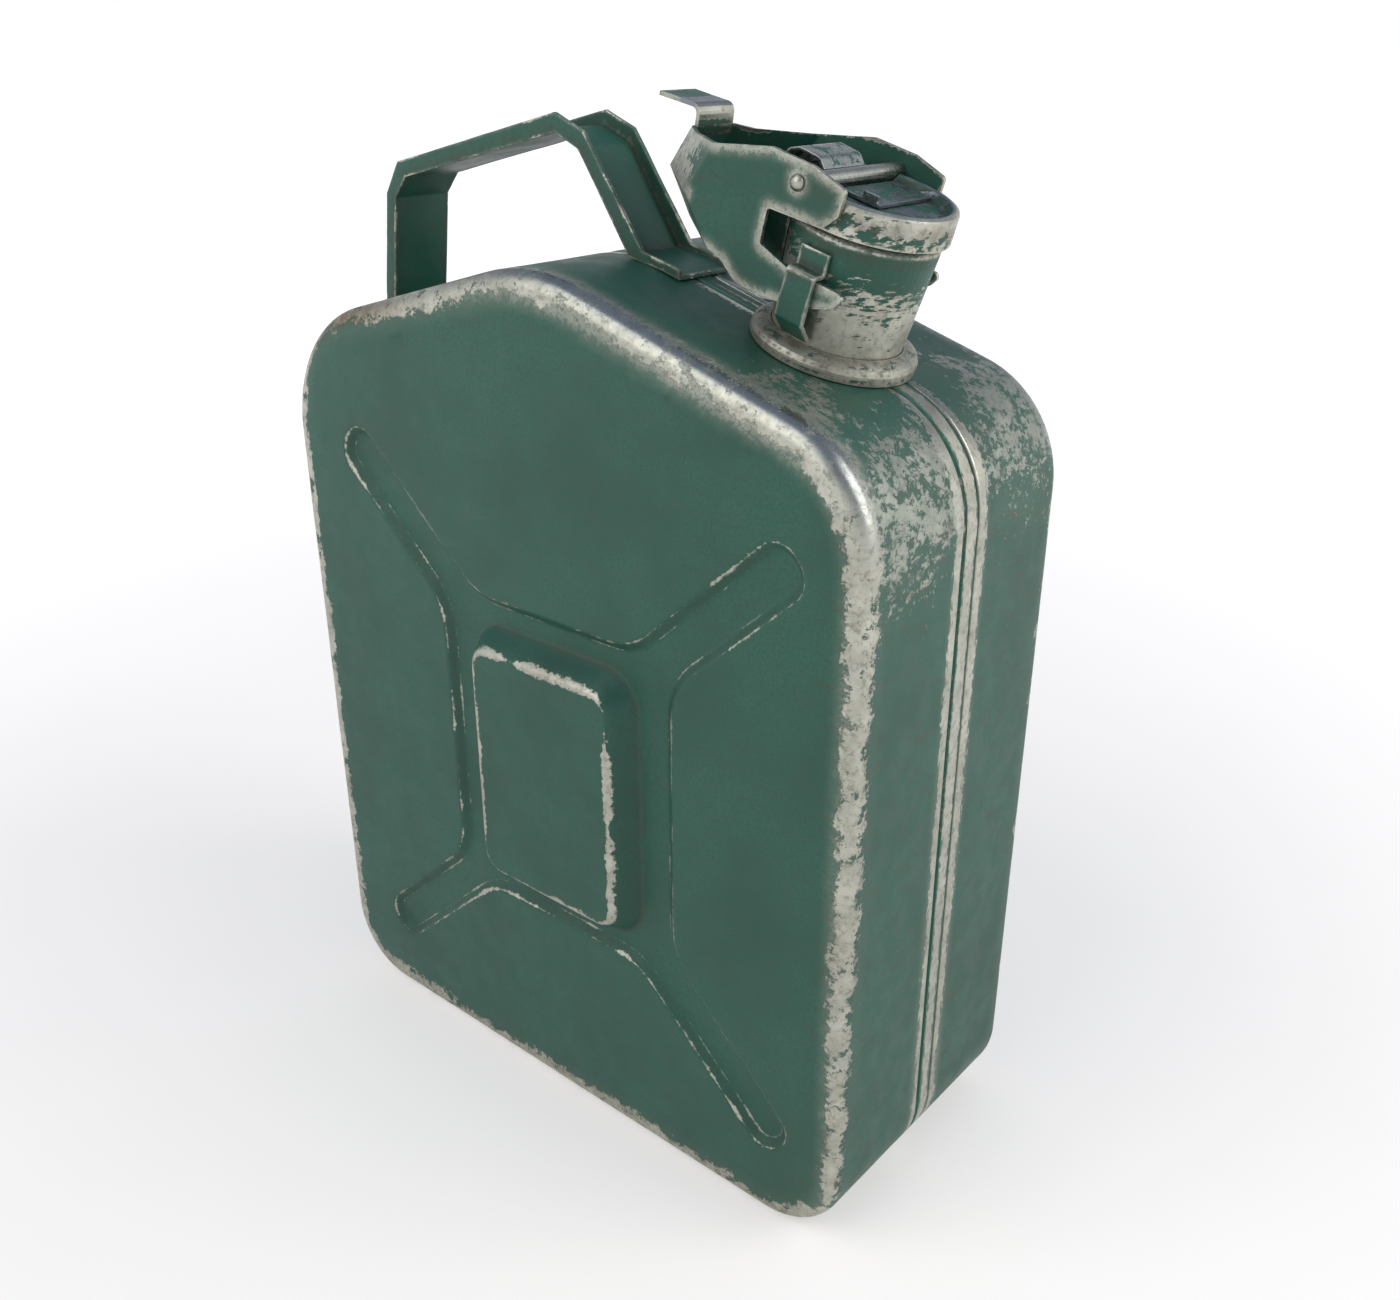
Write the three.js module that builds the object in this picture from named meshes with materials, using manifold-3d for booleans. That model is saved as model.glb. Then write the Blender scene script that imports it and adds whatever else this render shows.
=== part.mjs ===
// Steel fuel can of the ten litre class with a carry handle and a cam-lever spout cap.
// Millimetres, +Z up, +X towards the spout, the front face looks along -Y.
// The origin is the middle of the flat base.
import * as THREE from "three";
import Module from "manifold-3d";

const wasm = await Module();
wasm.setup();

// ---- colours -------------------------------------------------------------------------------
const PAINT = 0x2f5a49;
const STEEL = 0xa9a79c;
const RUBBER = 0x1c1c1c;

// ---- can body ------------------------------------------------------------------------------
const BODY_WIDTH = 280;
const BODY_DEPTH = 120;
const SHEET = 1.2;
const EDGE_ROUND = 6.5;
const BASE_CORNER = 32;
const SPOUT_SHOULDER = 43;
const REAR_SHOULDER = 56;
const CREST_ROUND = 78;
const SPOUT_SIDE_HEIGHT = 298.5;
const REAR_SIDE_HEIGHT = 304.5;
const CREST_X = -1;
const CREST_HEIGHT = 342.5;
const HALF_WIDTH = BODY_WIDTH / 2;
const HALF_DEPTH = BODY_DEPTH / 2;

// ---- welded seam round the middle: a strip between two grooves -----------------------------
const SHELL_EDGE = 4.9;
const STRIP_HALF = 3.2;
const STRIP_DEPTH = 1.5;
const BACKING_HALF = 8;
const BACKING_SHEET = 1.2;

// ---- pressed cross and raised panel on each face -------------------------------------------
const CROSS_X = 5;
const CROSS_Z = 151.5;
const CROSS_DEPTH = 3.4;
const CROSS_DRAFT = 2.4;
const RING_HALF_X = 56;
const RING_HALF_Z = 63;
const ARM_INNER_X = 46;
const ARM_INNER_Z = 57.5;
const ARM_END_X = 102.5;
const ARM_END_Z = 108.5;
const ARM_HALF = 7.3;
const TIP_FLAT = 0.8;
const ARM_FILLET = 30;
const PANEL_X = 4;
const PANEL_Z = 150;
const PANEL_HALF_X = 41.7;
const PANEL_HALF_Z = 55.5;
const PANEL_RISE = 6.8;
const PANEL_DRAFT = 6.8;
const PANEL_CORNER = 15;

// ---- neck and cap: U runs down the shoulder, V up the leaning axis, from the cap's rim -----
const RIM_X = 98.2;
const RIM_Z = 366.9;
const NECK_LEAN = THREE.MathUtils.degToRad(16.5);
const NECK_MOUTH_V = -6.4;
const NECK_MOUTH_RADIUS = 21.6;
const NECK_BEAD_V = -11.5;
const NECK_BEAD_RADIUS = 24.2;
const NECK_BEAD_LAND = 1;
const NECK_BEAD_CHAMFER = 0.6;
const NECK_BEAD_STEP = 1.2;
const NECK_INNER_STEP = 3;
const NECK_ROOT_V = -47;
const NECK_ROOT_RADIUS = 22;
const NECK_WALL = 1.4;
const COLLAR_RADIUS = 28.2;
const COLLAR_TOP_V = -46.5;
// rounding of the collar's upper edge: inwards from its side and down from its top
const COLLAR_EDGE = [
  [0, 3.5],
  [0.8, 1.8],
  [2.8, 0.6],
];
const COLLAR_LIP = 0.8;
const COLLAR_LIP_DROP = 0.2;
const TUBE_END_V = -60;
const MOUTH_BORE = 20.3;

const CAP_RADIUS = 26.2;
const CAP_SKIRT_V = -10;
const CAP_SKIRT_BORE = 24.9;
const CAP_RIM_BORE = 23.2;
const CAP_FLOOR_V = -3.1;
const CAP_SHEET = 1.2;
const CAP_CHAMFER = 0.5;
// rounding of the cap rim's outer edge: inwards from its side and down from its top
const CAP_RIM_EDGE = [
  [0, 1.5],
  [0.4, 0.5],
  [1.4, 0],
];
const CAP_RIM_LIP = 0.7;
const RECESS_RADIUS = CAP_RIM_BORE - 1.6;
const GASKET_WIDTH = 2.4;

// ---- cap hinge on the handle side of the neck ----------------------------------------------
const HINGE_U = -31;
const HINGE_V = -9;
const HINGE_PIN_RADIUS = 1.5;
const HINGE_EYE_RADIUS = 3.4;
const HINGE_HEAD_RADIUS = 2.6;
const HINGE_HEAD_HEIGHT = 1;
const LEAF_HALF_WIDTH = 11;
const LEAF_BEND = 2;
const LEAF_STAND_OFF = 5;
const LEAF_FOOT_V = -3;
const LEAF_SHOULDER_OFF = 2.2;
const LEAF_SHOULDER_V = 2.8;
const LEAF_CREST_RISE = 3.5;
const LEAF_CREST_IN = 1.4;
const LEAF_FALL_IN = 6.2;
const LEAF_FALL_DROP = 0.4;
const LEAF_END_RISE = 1.2;
const LUG_INNER = 12.6;
const LUG_OUTER = 14;
const SADDLE_SHEET = 1.4;
const SADDLE_TOP_V = -13.4;
const SADDLE_LOW_V = -30.5;

// ---- cam lever -----------------------------------------------------------------------------
const PIVOT_U = -10.8;
const PIVOT_V = 0;
const PIVOT_PIN_RADIUS = 1.4;
const RIVET_HEAD_RADIUS = 2.6;
const RIVET_HEAD_HEIGHT = 1.7;
const BARREL_RADIUS = 2.7;
const BARREL_HALF = 25.9;
const LEVER_HALF = 28;
const LEVER_SHEET = 1.4;
const LEVER_BEND = 2.5;
const LEVER_BACK_HALF = 10.7;
const LEVER_TAPER_LENGTH = 22.7;
const LEVER_FOLD_U = -74.3;
const LEVER_FOLD_V = -17.9;
const LEVER_TOP_V = -3.4;
const LEVER_RISE = 25;
const LEVER_LOW_V = -30.3;
const LEVER_UPPER_LEAN = 0.4;
const LEVER_LOWER_LEAN = -1;
const THUMB_HALF = 9;
const THUMB_TIP_U = -85.8;
const THUMB_TIP_V = 1.4;
const THUMB_BEND = 2.6;
const THUMB_OVERLAP = 2.6;
const THUMB_SET_BACK = 1;
const THUMB_RISE = 6;
const THUMB_LEAN = 0.6;
const CLAW_TOP_V = -24.8;

// ---- plate in the cap's recess, beside the barrel ------------------------------------------
const PLATE_NEAR_Y = 9.5;
const PLATE_FAR_Y = 20;
const PLATE_END_U = 7.5;
const PLATE_TAB_LENGTH = 5.6;
const PLATE_TAB_HEIGHT = 2.2;

// ---- keeper straps on both sides of the neck -----------------------------------------------
const STRAP_U = -0.2;
const STRAP_HALF = 5.4;
const STRAP_SHEET = 1.4;
const STRAP_FOOT_Y = 24.9;
const STRAP_BAND_Y = 29.6;
const STRAP_TOP_V = -16.5;
const STRAP_HOOK_V = -23.4;
const STRAP_BEND_V = -38.6;
const STRAP_END_V = -44.5;
const STRAP_BEND = 1.2;
const STRAP_TUCK = 0.9;

// ---- breather tube -------------------------------------------------------------------------
const BREATHER_RADIUS = 3.2;
const BREATHER_BORE = 2.2;
const BREATHER_REACH = 22;
const BREATHER_DROP = 8;

// ---- carry handle --------------------------------------------------------------------------
const HANDLE_HALF = 13.7;
const HANDLE_SHEET = 1.6;
const HANDLE_END_X = 28.6;
const HANDLE_END_Z = 337.3;
const HANDLE_LEG_END_Z = 286;
const HANDLE_BEND = 1.5;
const HANDLE_FOOT_DEPTH = 12;
const HANDLE_FOOT_SLOPE = 6;
const BELOW_LEG = 270;

// ---- pin heads: shares of the head's radius and height -------------------------------------
const FLAT_HEAD = [
  [0.85, 1],
  [1, 0.8],
];
const DOMED_HEAD = [
  [0.5, 0.85],
  [0.87, 0.45],
];

const GAP = 0.3;
const FAR = 400;

// ============================================================================================
// Small tools
// ============================================================================================
const v2 = (x, y) => new THREE.Vector2(x, y);

// A closed outline from corner points [x, y, radius], grown outwards by `grow`.
function roundedLoop(corners, grow = 0, stepDegrees = 11) {
  const n = corners.length;
  const at = (i) => corners[(i + n) % n];
  const edge = (i) => {
    const a = at(i);
    const b = at(i + 1);
    const d = v2(b[0] - a[0], b[1] - a[1]).normalize();
    const out = v2(d.y, -d.x).multiplyScalar(grow);
    return { p: v2(a[0], a[1]).add(out), d };
  };
  const loop = [];
  for (let i = 0; i < n; i++) {
    const e0 = edge(i - 1);
    const e1 = edge(i);
    const cross = e0.d.x * e1.d.y - e0.d.y * e1.d.x;
    const between = e1.p.clone().sub(e0.p);
    const s = (between.x * e1.d.y - between.y * e1.d.x) / cross;
    const tip = e0.p.clone().addScaledVector(e0.d, s);
    const turn = Math.atan2(cross, e0.d.dot(e1.d));
    const r = Math.max(0, at(i)[2] + (turn > 0 ? grow : -grow));
    if (r < 0.05) {
      loop.push(tip);
      continue;
    }
    const reach = r * Math.tan(Math.abs(turn) / 2);
    const from = tip.clone().addScaledVector(e0.d, -reach);
    const side = Math.sign(turn);
    const centre = from.clone().add(v2(-e0.d.y, e0.d.x).multiplyScalar(side * r));
    const steps = Math.max(2, Math.ceil(Math.abs(turn) / THREE.MathUtils.degToRad(stepDegrees)));
    for (let k = 0; k <= steps; k++) {
      const arm = from.clone().sub(centre);
      loop.push(arm.rotateAround(v2(0, 0), (turn * k) / steps).add(centre));
    }
  }
  return loop;
}

// An outline in X and Z swept along Y between two depths.
function prism(loop, y0, y1) {
  const g = new THREE.ExtrudeGeometry(new THREE.Shape(loop), {
    depth: y1 - y0,
    bevelEnabled: false,
  });
  return g.rotateX(Math.PI / 2).translate(0, y1, 0);
}

// The same with both rims rounded or chamfered inwards.
function bevelledPrism(loop, y0, y1, inwards, along, segments) {
  const g = new THREE.ExtrudeGeometry(new THREE.Shape(loop), {
    depth: y1 - y0 - 2 * along,
    bevelEnabled: true,
    bevelThickness: along,
    bevelSize: inwards,
    bevelOffset: -inwards,
    bevelSegments: segments,
  });
  return g.rotateX(Math.PI / 2).translate(0, y1 - along, 0);
}

function box(x0, x1, y0, y1, z0, z1) {
  const g = new THREE.BoxGeometry(x1 - x0, y1 - y0, z1 - z0);
  return g.translate((x0 + x1) / 2, (y0 + y1) / 2, (z0 + z1) / 2);
}

// A cylinder whose axis runs along Y through (x, z).
function crossCylinder(radius, x, z, y0, y1, sides = 28) {
  const g = new THREE.CylinderGeometry(radius, radius, y1 - y0, sides);
  return g.translate(x, (y0 + y1) / 2, z);
}

// A turned piece whose axis is +Z: the profile is a list of [radius, height].
function turned(profile, sides = 48) {
  const g = new THREE.LatheGeometry(
    profile.map(([r, h]) => v2(r, h)),
    sides,
  );
  return g.rotateX(Math.PI / 2);
}

// A strip of sheet bent along a line of points, as a closed outline of even thickness.
function stripLoop(points, thickness) {
  const n = points.length;
  const dirs = [];
  for (let i = 0; i + 1 < n; i++) {
    dirs.push(v2(points[i + 1][0] - points[i][0], points[i + 1][1] - points[i][1]).normalize());
  }
  const left = [];
  const right = [];
  for (let i = 0; i < n; i++) {
    const a = dirs[Math.max(0, i - 1)];
    const b = dirs[Math.min(n - 2, i)];
    const mid = v2(-(a.y + b.y), a.x + b.x).normalize();
    const half = thickness / 2 / Math.max(0.35, mid.dot(v2(-a.y, a.x)));
    left.push(v2(points[i][0], points[i][1]).addScaledVector(mid, half));
    right.push(v2(points[i][0], points[i][1]).addScaledVector(mid, -half));
  }
  return right.concat(left.reverse());
}

// Points along a line with each inner corner replaced by an arc.
function easedLine(points, radius, steps = 4) {
  const line = [points[0]];
  for (let i = 1; i + 1 < points.length; i++) {
    const p = v2(...points[i]);
    const a = v2(...points[i - 1]).sub(p).normalize();
    const b = v2(...points[i + 1]).sub(p).normalize();
    const corner = Math.acos(THREE.MathUtils.clamp(a.dot(b), -1, 1));
    const reach = radius / Math.tan(corner / 2);
    const from = p.clone().addScaledVector(a, reach);
    const middle = a.clone().add(b).normalize();
    const centre = p.clone().addScaledVector(middle, radius / Math.sin(corner / 2));
    const turn = -Math.sign(a.x * b.y - a.y * b.x) * (Math.PI - corner);
    for (let k = 0; k <= steps; k++) {
      const q = from.clone().rotateAround(centre, (turn * k) / steps);
      line.push([q.x, q.y]);
    }
  }
  line.push(points[points.length - 1]);
  return line;
}

// Geometry to manifold-3d solid and back.
function solid(geometry) {
  const flat = geometry.index ? geometry.toNonIndexed() : geometry;
  const source = flat.getAttribute("position");
  const places = new Map();
  const vertices = [];
  const triangles = [];
  for (let i = 0; i < source.count; i += 3) {
    const ids = [0, 1, 2].map((k) => {
      const p = [source.getX(i + k), source.getY(i + k), source.getZ(i + k)];
      const key = p.map((c) => Math.round(c * 1e4)).join(" ");
      if (!places.has(key)) {
        places.set(key, vertices.length / 3);
        vertices.push(...p);
      }
      return places.get(key);
    });
    if (ids[0] !== ids[1] && ids[1] !== ids[2] && ids[0] !== ids[2]) triangles.push(...ids);
  }
  const mesh = new wasm.Mesh({
    numProp: 3,
    vertProperties: new Float32Array(vertices),
    triVerts: new Uint32Array(triangles),
  });
  return new wasm.Manifold(mesh);
}

function geometryOf(body) {
  const m = body.getMesh();
  const position = new Float32Array(m.numVert * 3);
  for (let i = 0; i < m.numVert; i++) {
    position.set(m.vertProperties.subarray(i * m.numProp, i * m.numProp + 3), i * 3);
  }
  const g = new THREE.BufferGeometry();
  g.setAttribute("position", new THREE.BufferAttribute(position, 3));
  g.setIndex(new THREE.BufferAttribute(new Uint32Array(m.triVerts), 1));
  return g;
}

const join = (...list) => list.map(toSolid).reduce((a, b) => a.add(b));
const cut = (from, ...tools) => tools.map(toSolid).reduce((a, b) => a.subtract(b), toSolid(from));
const common = (a, b) => toSolid(a).intersect(toSolid(b));
const toSolid = (thing) => (thing.isBufferGeometry ? solid(thing) : thing);

// The neck's own frame: U runs down the shoulder, V runs up the axis, from the cap's rim plane.
const NECK_FRAME = new THREE.Matrix4()
  .makeTranslation(RIM_X, 0, RIM_Z)
  .multiply(new THREE.Matrix4().makeRotationY(NECK_LEAN));
const onNeck = (geometry) => geometry.applyMatrix4(NECK_FRAME);
function neckToWorld(u, v) {
  const p = new THREE.Vector3(u, 0, v).applyMatrix4(NECK_FRAME);
  return [p.x, p.z];
}

const group = new THREE.Group();
group.name = "fuel_can";
function add(name, shape, color = PAINT, metalness = 0.4, roughness = 0.45) {
  const geometry = shape.isBufferGeometry ? shape : geometryOf(shape);
  const material = new THREE.MeshStandardMaterial({ color, metalness, roughness });
  const mesh = new THREE.Mesh(geometry, material);
  mesh.name = name;
  group.add(mesh);
}

// ============================================================================================
// Can body
// ============================================================================================
function bodyOutline(grow = 0) {
  return roundedLoop(
    [
      [-HALF_WIDTH, 0, BASE_CORNER],
      [HALF_WIDTH, 0, BASE_CORNER],
      [HALF_WIDTH, SPOUT_SIDE_HEIGHT, SPOUT_SHOULDER],
      [CREST_X, CREST_HEIGHT, CREST_ROUND],
      [-HALF_WIDTH, REAR_SIDE_HEIGHT, REAR_SHOULDER],
    ],
    grow,
  );
}

// Everything inside the body's outside surface, used to trim what stands on it.
const bodyTrim = (grow) => prism(bodyOutline(grow), -HALF_DEPTH, HALF_DEPTH);

// Outline of the pressed cross: a ring round the panel with four arms along the diagonals.
function crossOutline(grow) {
  const tilt = Math.atan2(ARM_END_Z - ARM_INNER_Z, ARM_END_X - ARM_INNER_X);
  const along = v2(Math.cos(tilt), Math.sin(tilt)).multiplyScalar(ARM_HALF);
  const across = v2(-along.y, along.x);
  const tip = v2(ARM_END_X, ARM_END_Z).add(along);
  const upper = tip.clone().add(across);
  const lower = tip.clone().sub(across);
  const upperRootX = upper.x - (upper.y - RING_HALF_Z) / Math.tan(tilt);
  const lowerRootZ = lower.y - (lower.x - RING_HALF_X) * Math.tan(tilt);
  const tipRound = ARM_HALF - TIP_FLAT;
  const quarter = [
    [RING_HALF_X, lowerRootZ, ARM_FILLET],
    [lower.x, lower.y, tipRound],
    [upper.x, upper.y, tipRound],
    [upperRootX, RING_HALF_Z, ARM_FILLET],
  ];
  const mirrored = (sx, sz) => {
    const copy = quarter.map(([x, z, r]) => [CROSS_X + x * sx, CROSS_Z + z * sz, r]);
    return sx * sz < 0 ? copy.reverse() : copy;
  };
  const corners = [...mirrored(1, 1), ...mirrored(-1, 1), ...mirrored(-1, -1), ...mirrored(1, -1)];
  return roundedLoop(corners, grow, 15);
}

function panelOutline(grow) {
  const x0 = PANEL_X - PANEL_HALF_X;
  const x1 = PANEL_X + PANEL_HALF_X;
  const z0 = PANEL_Z - PANEL_HALF_Z;
  const z1 = PANEL_Z + PANEL_HALF_Z;
  const corners = [
    [x0, z0, PANEL_CORNER],
    [x1, z0, PANEL_CORNER],
    [x1, z1, PANEL_CORNER],
    [x0, z1, PANEL_CORNER],
  ];
  return roundedLoop(corners, grow, 15);
}

// The space behind the sheet's surface lying `inset` under the outside of the front half.
function frontHalf(inset) {
  const face = -HALF_DEPTH + inset;
  const round = EDGE_ROUND - inset;
  const plain = bevelledPrism(bodyOutline(-inset), face, -face, round, round, 4);
  const floor = face + CROSS_DEPTH;
  const cross = bevelledPrism(
    crossOutline(CROSS_DRAFT + inset),
    face - 2 * CROSS_DEPTH,
    floor,
    CROSS_DRAFT,
    CROSS_DEPTH,
    2,
  );
  const top = face - PANEL_RISE;
  const rise = PANEL_RISE + CROSS_DEPTH;
  const panel = bevelledPrism(
    panelOutline(-inset),
    top,
    floor + 2 * rise,
    PANEL_DRAFT,
    rise,
    1,
  );
  return join(cut(plain, cross), panel);
}

function neckBore(radius) {
  const length = NECK_ROOT_V - TUBE_END_V + COLLAR_RADIUS;
  const g = new THREE.CylinderGeometry(radius, radius, length, 40);
  return onNeck(g.rotateX(Math.PI / 2).translate(0, 0, NECK_ROOT_V - length / 2));
}

function frontShell() {
  const nearHalf = box(-FAR, FAR, -FAR, -SHELL_EDGE, -FAR, FAR);
  const sheet = cut(frontHalf(0), frontHalf(SHEET));
  return cut(common(sheet, nearHalf), neckBore(MOUTH_BORE));
}

// The seam's flat strip stands level with the shells on a wider backing inside them.
function seamBand() {
  const inner = STRIP_DEPTH + BACKING_SHEET;
  const strip = prism(bodyOutline(0), -STRIP_HALF, STRIP_HALF);
  const backing = prism(bodyOutline(-STRIP_DEPTH), -BACKING_HALF, BACKING_HALF);
  const hollow = prism(bodyOutline(-inner), -FAR, FAR);
  return cut(join(strip, backing), hollow, neckBore(MOUTH_BORE));
}

// ============================================================================================
// Neck and its fittings, built upright on the axis and then leant over
// ============================================================================================
// The neck's outside, filled solid and grown all round.
function neckOutside(grow) {
  return turned(
    [
      [0, TUBE_END_V],
      [NECK_ROOT_RADIUS + grow, TUBE_END_V],
      [NECK_ROOT_RADIUS + grow, NECK_ROOT_V],
      [NECK_BEAD_RADIUS + grow, NECK_BEAD_V],
      [0, NECK_BEAD_V],
    ],
    60,
  );
}

function neck() {
  const outer = [
    [NECK_ROOT_RADIUS, TUBE_END_V],
    [NECK_ROOT_RADIUS, NECK_ROOT_V],
    [NECK_BEAD_RADIUS, NECK_BEAD_V - NECK_BEAD_LAND],
    [NECK_BEAD_RADIUS - NECK_BEAD_CHAMFER, NECK_BEAD_V],
    [NECK_MOUTH_RADIUS, NECK_BEAD_V + NECK_BEAD_STEP],
    [NECK_MOUTH_RADIUS, NECK_MOUTH_V],
  ];
  const inner = [
    [NECK_MOUTH_RADIUS - NECK_WALL, NECK_MOUTH_V],
    [NECK_MOUTH_RADIUS - NECK_WALL, NECK_BEAD_V],
    [NECK_BEAD_RADIUS - NECK_WALL, NECK_BEAD_V - NECK_INNER_STEP],
    [NECK_ROOT_RADIUS - NECK_WALL, NECK_ROOT_V],
    [NECK_ROOT_RADIUS - NECK_WALL, TUBE_END_V],
  ];
  const tube = onNeck(turned([...outer, ...inner, outer[0]], 60));
  return cut(tube, bodyTrim(GAP));
}

function neckCollar() {
  const bore = NECK_ROOT_RADIUS + GAP;
  const profile = [
    [bore, TUBE_END_V],
    [COLLAR_RADIUS, TUBE_END_V],
    ...COLLAR_EDGE.map(([inwards, down]) => [COLLAR_RADIUS - inwards, COLLAR_TOP_V - down]),
    [bore + COLLAR_LIP, COLLAR_TOP_V - COLLAR_LIP_DROP],
    [bore, COLLAR_TOP_V],
    [bore, TUBE_END_V],
  ];
  return cut(onNeck(turned(profile, 60)), bodyTrim(GAP));
}

// A thin tube that lets air in while fuel runs out, bent to follow the shoulder's underside.
function breatherTube() {
  const u = -(NECK_MOUTH_RADIUS - NECK_WALL - BREATHER_RADIUS - 1);
  const [topX, topZ] = neckToWorld(u, NECK_BEAD_V - 2);
  const [midX, midZ] = neckToWorld(u, TUBE_END_V + 2);
  const endX = CREST_X + BREATHER_REACH;
  const bendX = midX - BREATHER_REACH;
  const curve = new THREE.CatmullRomCurve3(
    [
      new THREE.Vector3(topX, 0, topZ),
      new THREE.Vector3((topX + midX) / 2, 0, (topZ + midZ) / 2),
      new THREE.Vector3(midX, 0, midZ),
      new THREE.Vector3(bendX, 0, midZ - BREATHER_DROP),
      new THREE.Vector3(endX, 0, midZ - BREATHER_DROP / 2),
    ],
    false,
    "centripetal",
  );
  const ring = new THREE.Shape();
  ring.absarc(0, 0, BREATHER_RADIUS, 0, 2 * Math.PI);
  const bore = new THREE.Path();
  bore.absarc(0, 0, BREATHER_BORE, 0, 2 * Math.PI, true);
  ring.holes.push(bore);
  return new THREE.ExtrudeGeometry(ring, {
    steps: 24,
    curveSegments: 14,
    extrudePath: curve,
    bevelEnabled: false,
  });
}

// A bridge of strip on one side of the neck: the lever's claw locks under its upper end.
function keeperStrap(side) {
  const line = [
    [STRAP_FOOT_Y, STRAP_TOP_V],
    [STRAP_FOOT_Y, STRAP_HOOK_V],
    [STRAP_BAND_Y, STRAP_HOOK_V],
    [STRAP_BAND_Y, STRAP_BEND_V],
    [STRAP_FOOT_Y - STRAP_TUCK, STRAP_END_V],
  ];
  const loop = stripLoop(easedLine(line, STRAP_BEND, 3), STRAP_SHEET);
  const strap = prism(loop, -STRAP_HALF, STRAP_HALF);
  return onNeck(strap.rotateZ((side * Math.PI) / 2).translate(STRAP_U, 0, 0));
}

// A saddle on the neck with two lugs that carry the cap's hinge pin.
function hingeBracket() {
  const reach = box(-FAR, 0, -LUG_OUTER, LUG_OUTER, SADDLE_LOW_V, SADDLE_TOP_V);
  const saddle = common(neckOutside(GAP + SADDLE_SHEET), reach);
  const eye = (radius, y0, y1) => crossCylinder(radius, HINGE_U, HINGE_V, y0, y1);
  const rootU = -NECK_ROOT_RADIUS + SADDLE_SHEET;
  const onEye = 0.7 * HINGE_EYE_RADIUS;
  const web = [
    v2(HINGE_U - HINGE_EYE_RADIUS, HINGE_V),
    v2(HINGE_U, SADDLE_LOW_V),
    v2(rootU, SADDLE_LOW_V),
    v2(rootU, SADDLE_TOP_V),
    v2(HINGE_U + onEye, HINGE_V + onEye),
  ];
  const lug = (y0, y1) => join(prism(web, y0, y1), eye(HINGE_EYE_RADIUS, y0, y1));
  const lugs = join(lug(LUG_INNER, LUG_OUTER), lug(-LUG_OUTER, -LUG_INNER));
  const bore = eye(HINGE_PIN_RADIUS + GAP, -FAR, FAR);
  return onNeck(geometryOf(cut(join(saddle, lugs), neckOutside(GAP), bore)));
}

// A pin along Y with a head on each end.
function headedPin(radius, grip, headRadius, headHeight, headShape) {
  const shank = grip + GAP;
  const profile = [
    [0, -shank - headHeight],
    ...headShape.map(([r, h]) => [headRadius * r, -shank - headHeight * h]),
    [headRadius, -shank],
    [radius, -shank],
  ];
  const other = profile.map(([r, h]) => [r, -h]).reverse();
  return turned([...profile, ...other], 24).rotateX(Math.PI / 2);
}

function hingePin() {
  const head = [HINGE_HEAD_RADIUS, HINGE_HEAD_HEIGHT, FLAT_HEAD];
  const pin = headedPin(HINGE_PIN_RADIUS, LUG_OUTER, ...head);
  return onNeck(pin.translate(HINGE_U, 0, HINGE_V));
}

function pivotRivet() {
  const head = [RIVET_HEAD_RADIUS, RIVET_HEAD_HEIGHT, DOMED_HEAD];
  const pin = headedPin(PIVOT_PIN_RADIUS, LEVER_HALF, ...head);
  return onNeck(pin.translate(PIVOT_U, 0, PIVOT_V));
}

// ============================================================================================
// Cap and what is fixed to it
// ============================================================================================
function cap() {
  const underside = CAP_FLOOR_V - CAP_SHEET;
  const profile = [
    [0, underside],
    [CAP_SKIRT_BORE - CAP_CHAMFER, underside],
    [CAP_SKIRT_BORE, underside - CAP_CHAMFER],
    [CAP_SKIRT_BORE, CAP_SKIRT_V],
    [CAP_RADIUS, CAP_SKIRT_V],
    ...CAP_RIM_EDGE.map(([inwards, down]) => [CAP_RADIUS - inwards, -down]),
    [CAP_RIM_BORE + CAP_RIM_LIP, 0],
    [CAP_RIM_BORE, -CAP_RIM_LIP],
    [CAP_RIM_BORE - CAP_RIM_LIP, CAP_FLOOR_V + CAP_CHAMFER],
    [CAP_RIM_BORE - 2 * CAP_RIM_LIP, CAP_FLOOR_V],
    [0, CAP_FLOOR_V],
  ];
  const groove = crossCylinder(BARREL_RADIUS + GAP, PIVOT_U, PIVOT_V, -FAR, FAR);
  const recess = new THREE.CylinderGeometry(RECESS_RADIUS, RECESS_RADIUS, FAR, 48);
  const acrossRim = cut(groove, recess.rotateX(Math.PI / 2));
  return onNeck(geometryOf(cut(turned(profile, 60), acrossRim)));
}

function capGasket() {
  const top = CAP_FLOOR_V - CAP_SHEET - GAP;
  const bottom = NECK_MOUTH_V + GAP;
  const bore = NECK_MOUTH_RADIUS - GASKET_WIDTH;
  const edge = CAP_SKIRT_BORE - 2 * GAP;
  const profile = [
    [bore, bottom],
    [edge, bottom],
    [edge, top],
    [bore, top],
    [bore, bottom],
  ];
  return onNeck(turned(profile, 48));
}

// A plate in the cap's recess beside the barrel, with one small tab turned up at its edge.
function capBracket() {
  const bottom = CAP_FLOOR_V + GAP;
  const top = bottom + CAP_SHEET;
  const startU = PIVOT_U + BARREL_RADIUS + 2 * GAP;
  const nearY = -PLATE_NEAR_Y;
  const tabEnd = PLATE_END_U - CAP_SHEET;
  const plate = box(startU, PLATE_END_U, nearY, PLATE_FAR_Y, bottom, top);
  const tabTop = top + PLATE_TAB_HEIGHT;
  const tab = box(tabEnd - PLATE_TAB_LENGTH, tabEnd, nearY, nearY + CAP_SHEET, bottom, tabTop);
  const recess = new THREE.CylinderGeometry(RECESS_RADIUS, RECESS_RADIUS, FAR, 48);
  return onNeck(geometryOf(common(join(plate, tab), recess.rotateX(Math.PI / 2))));
}

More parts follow.
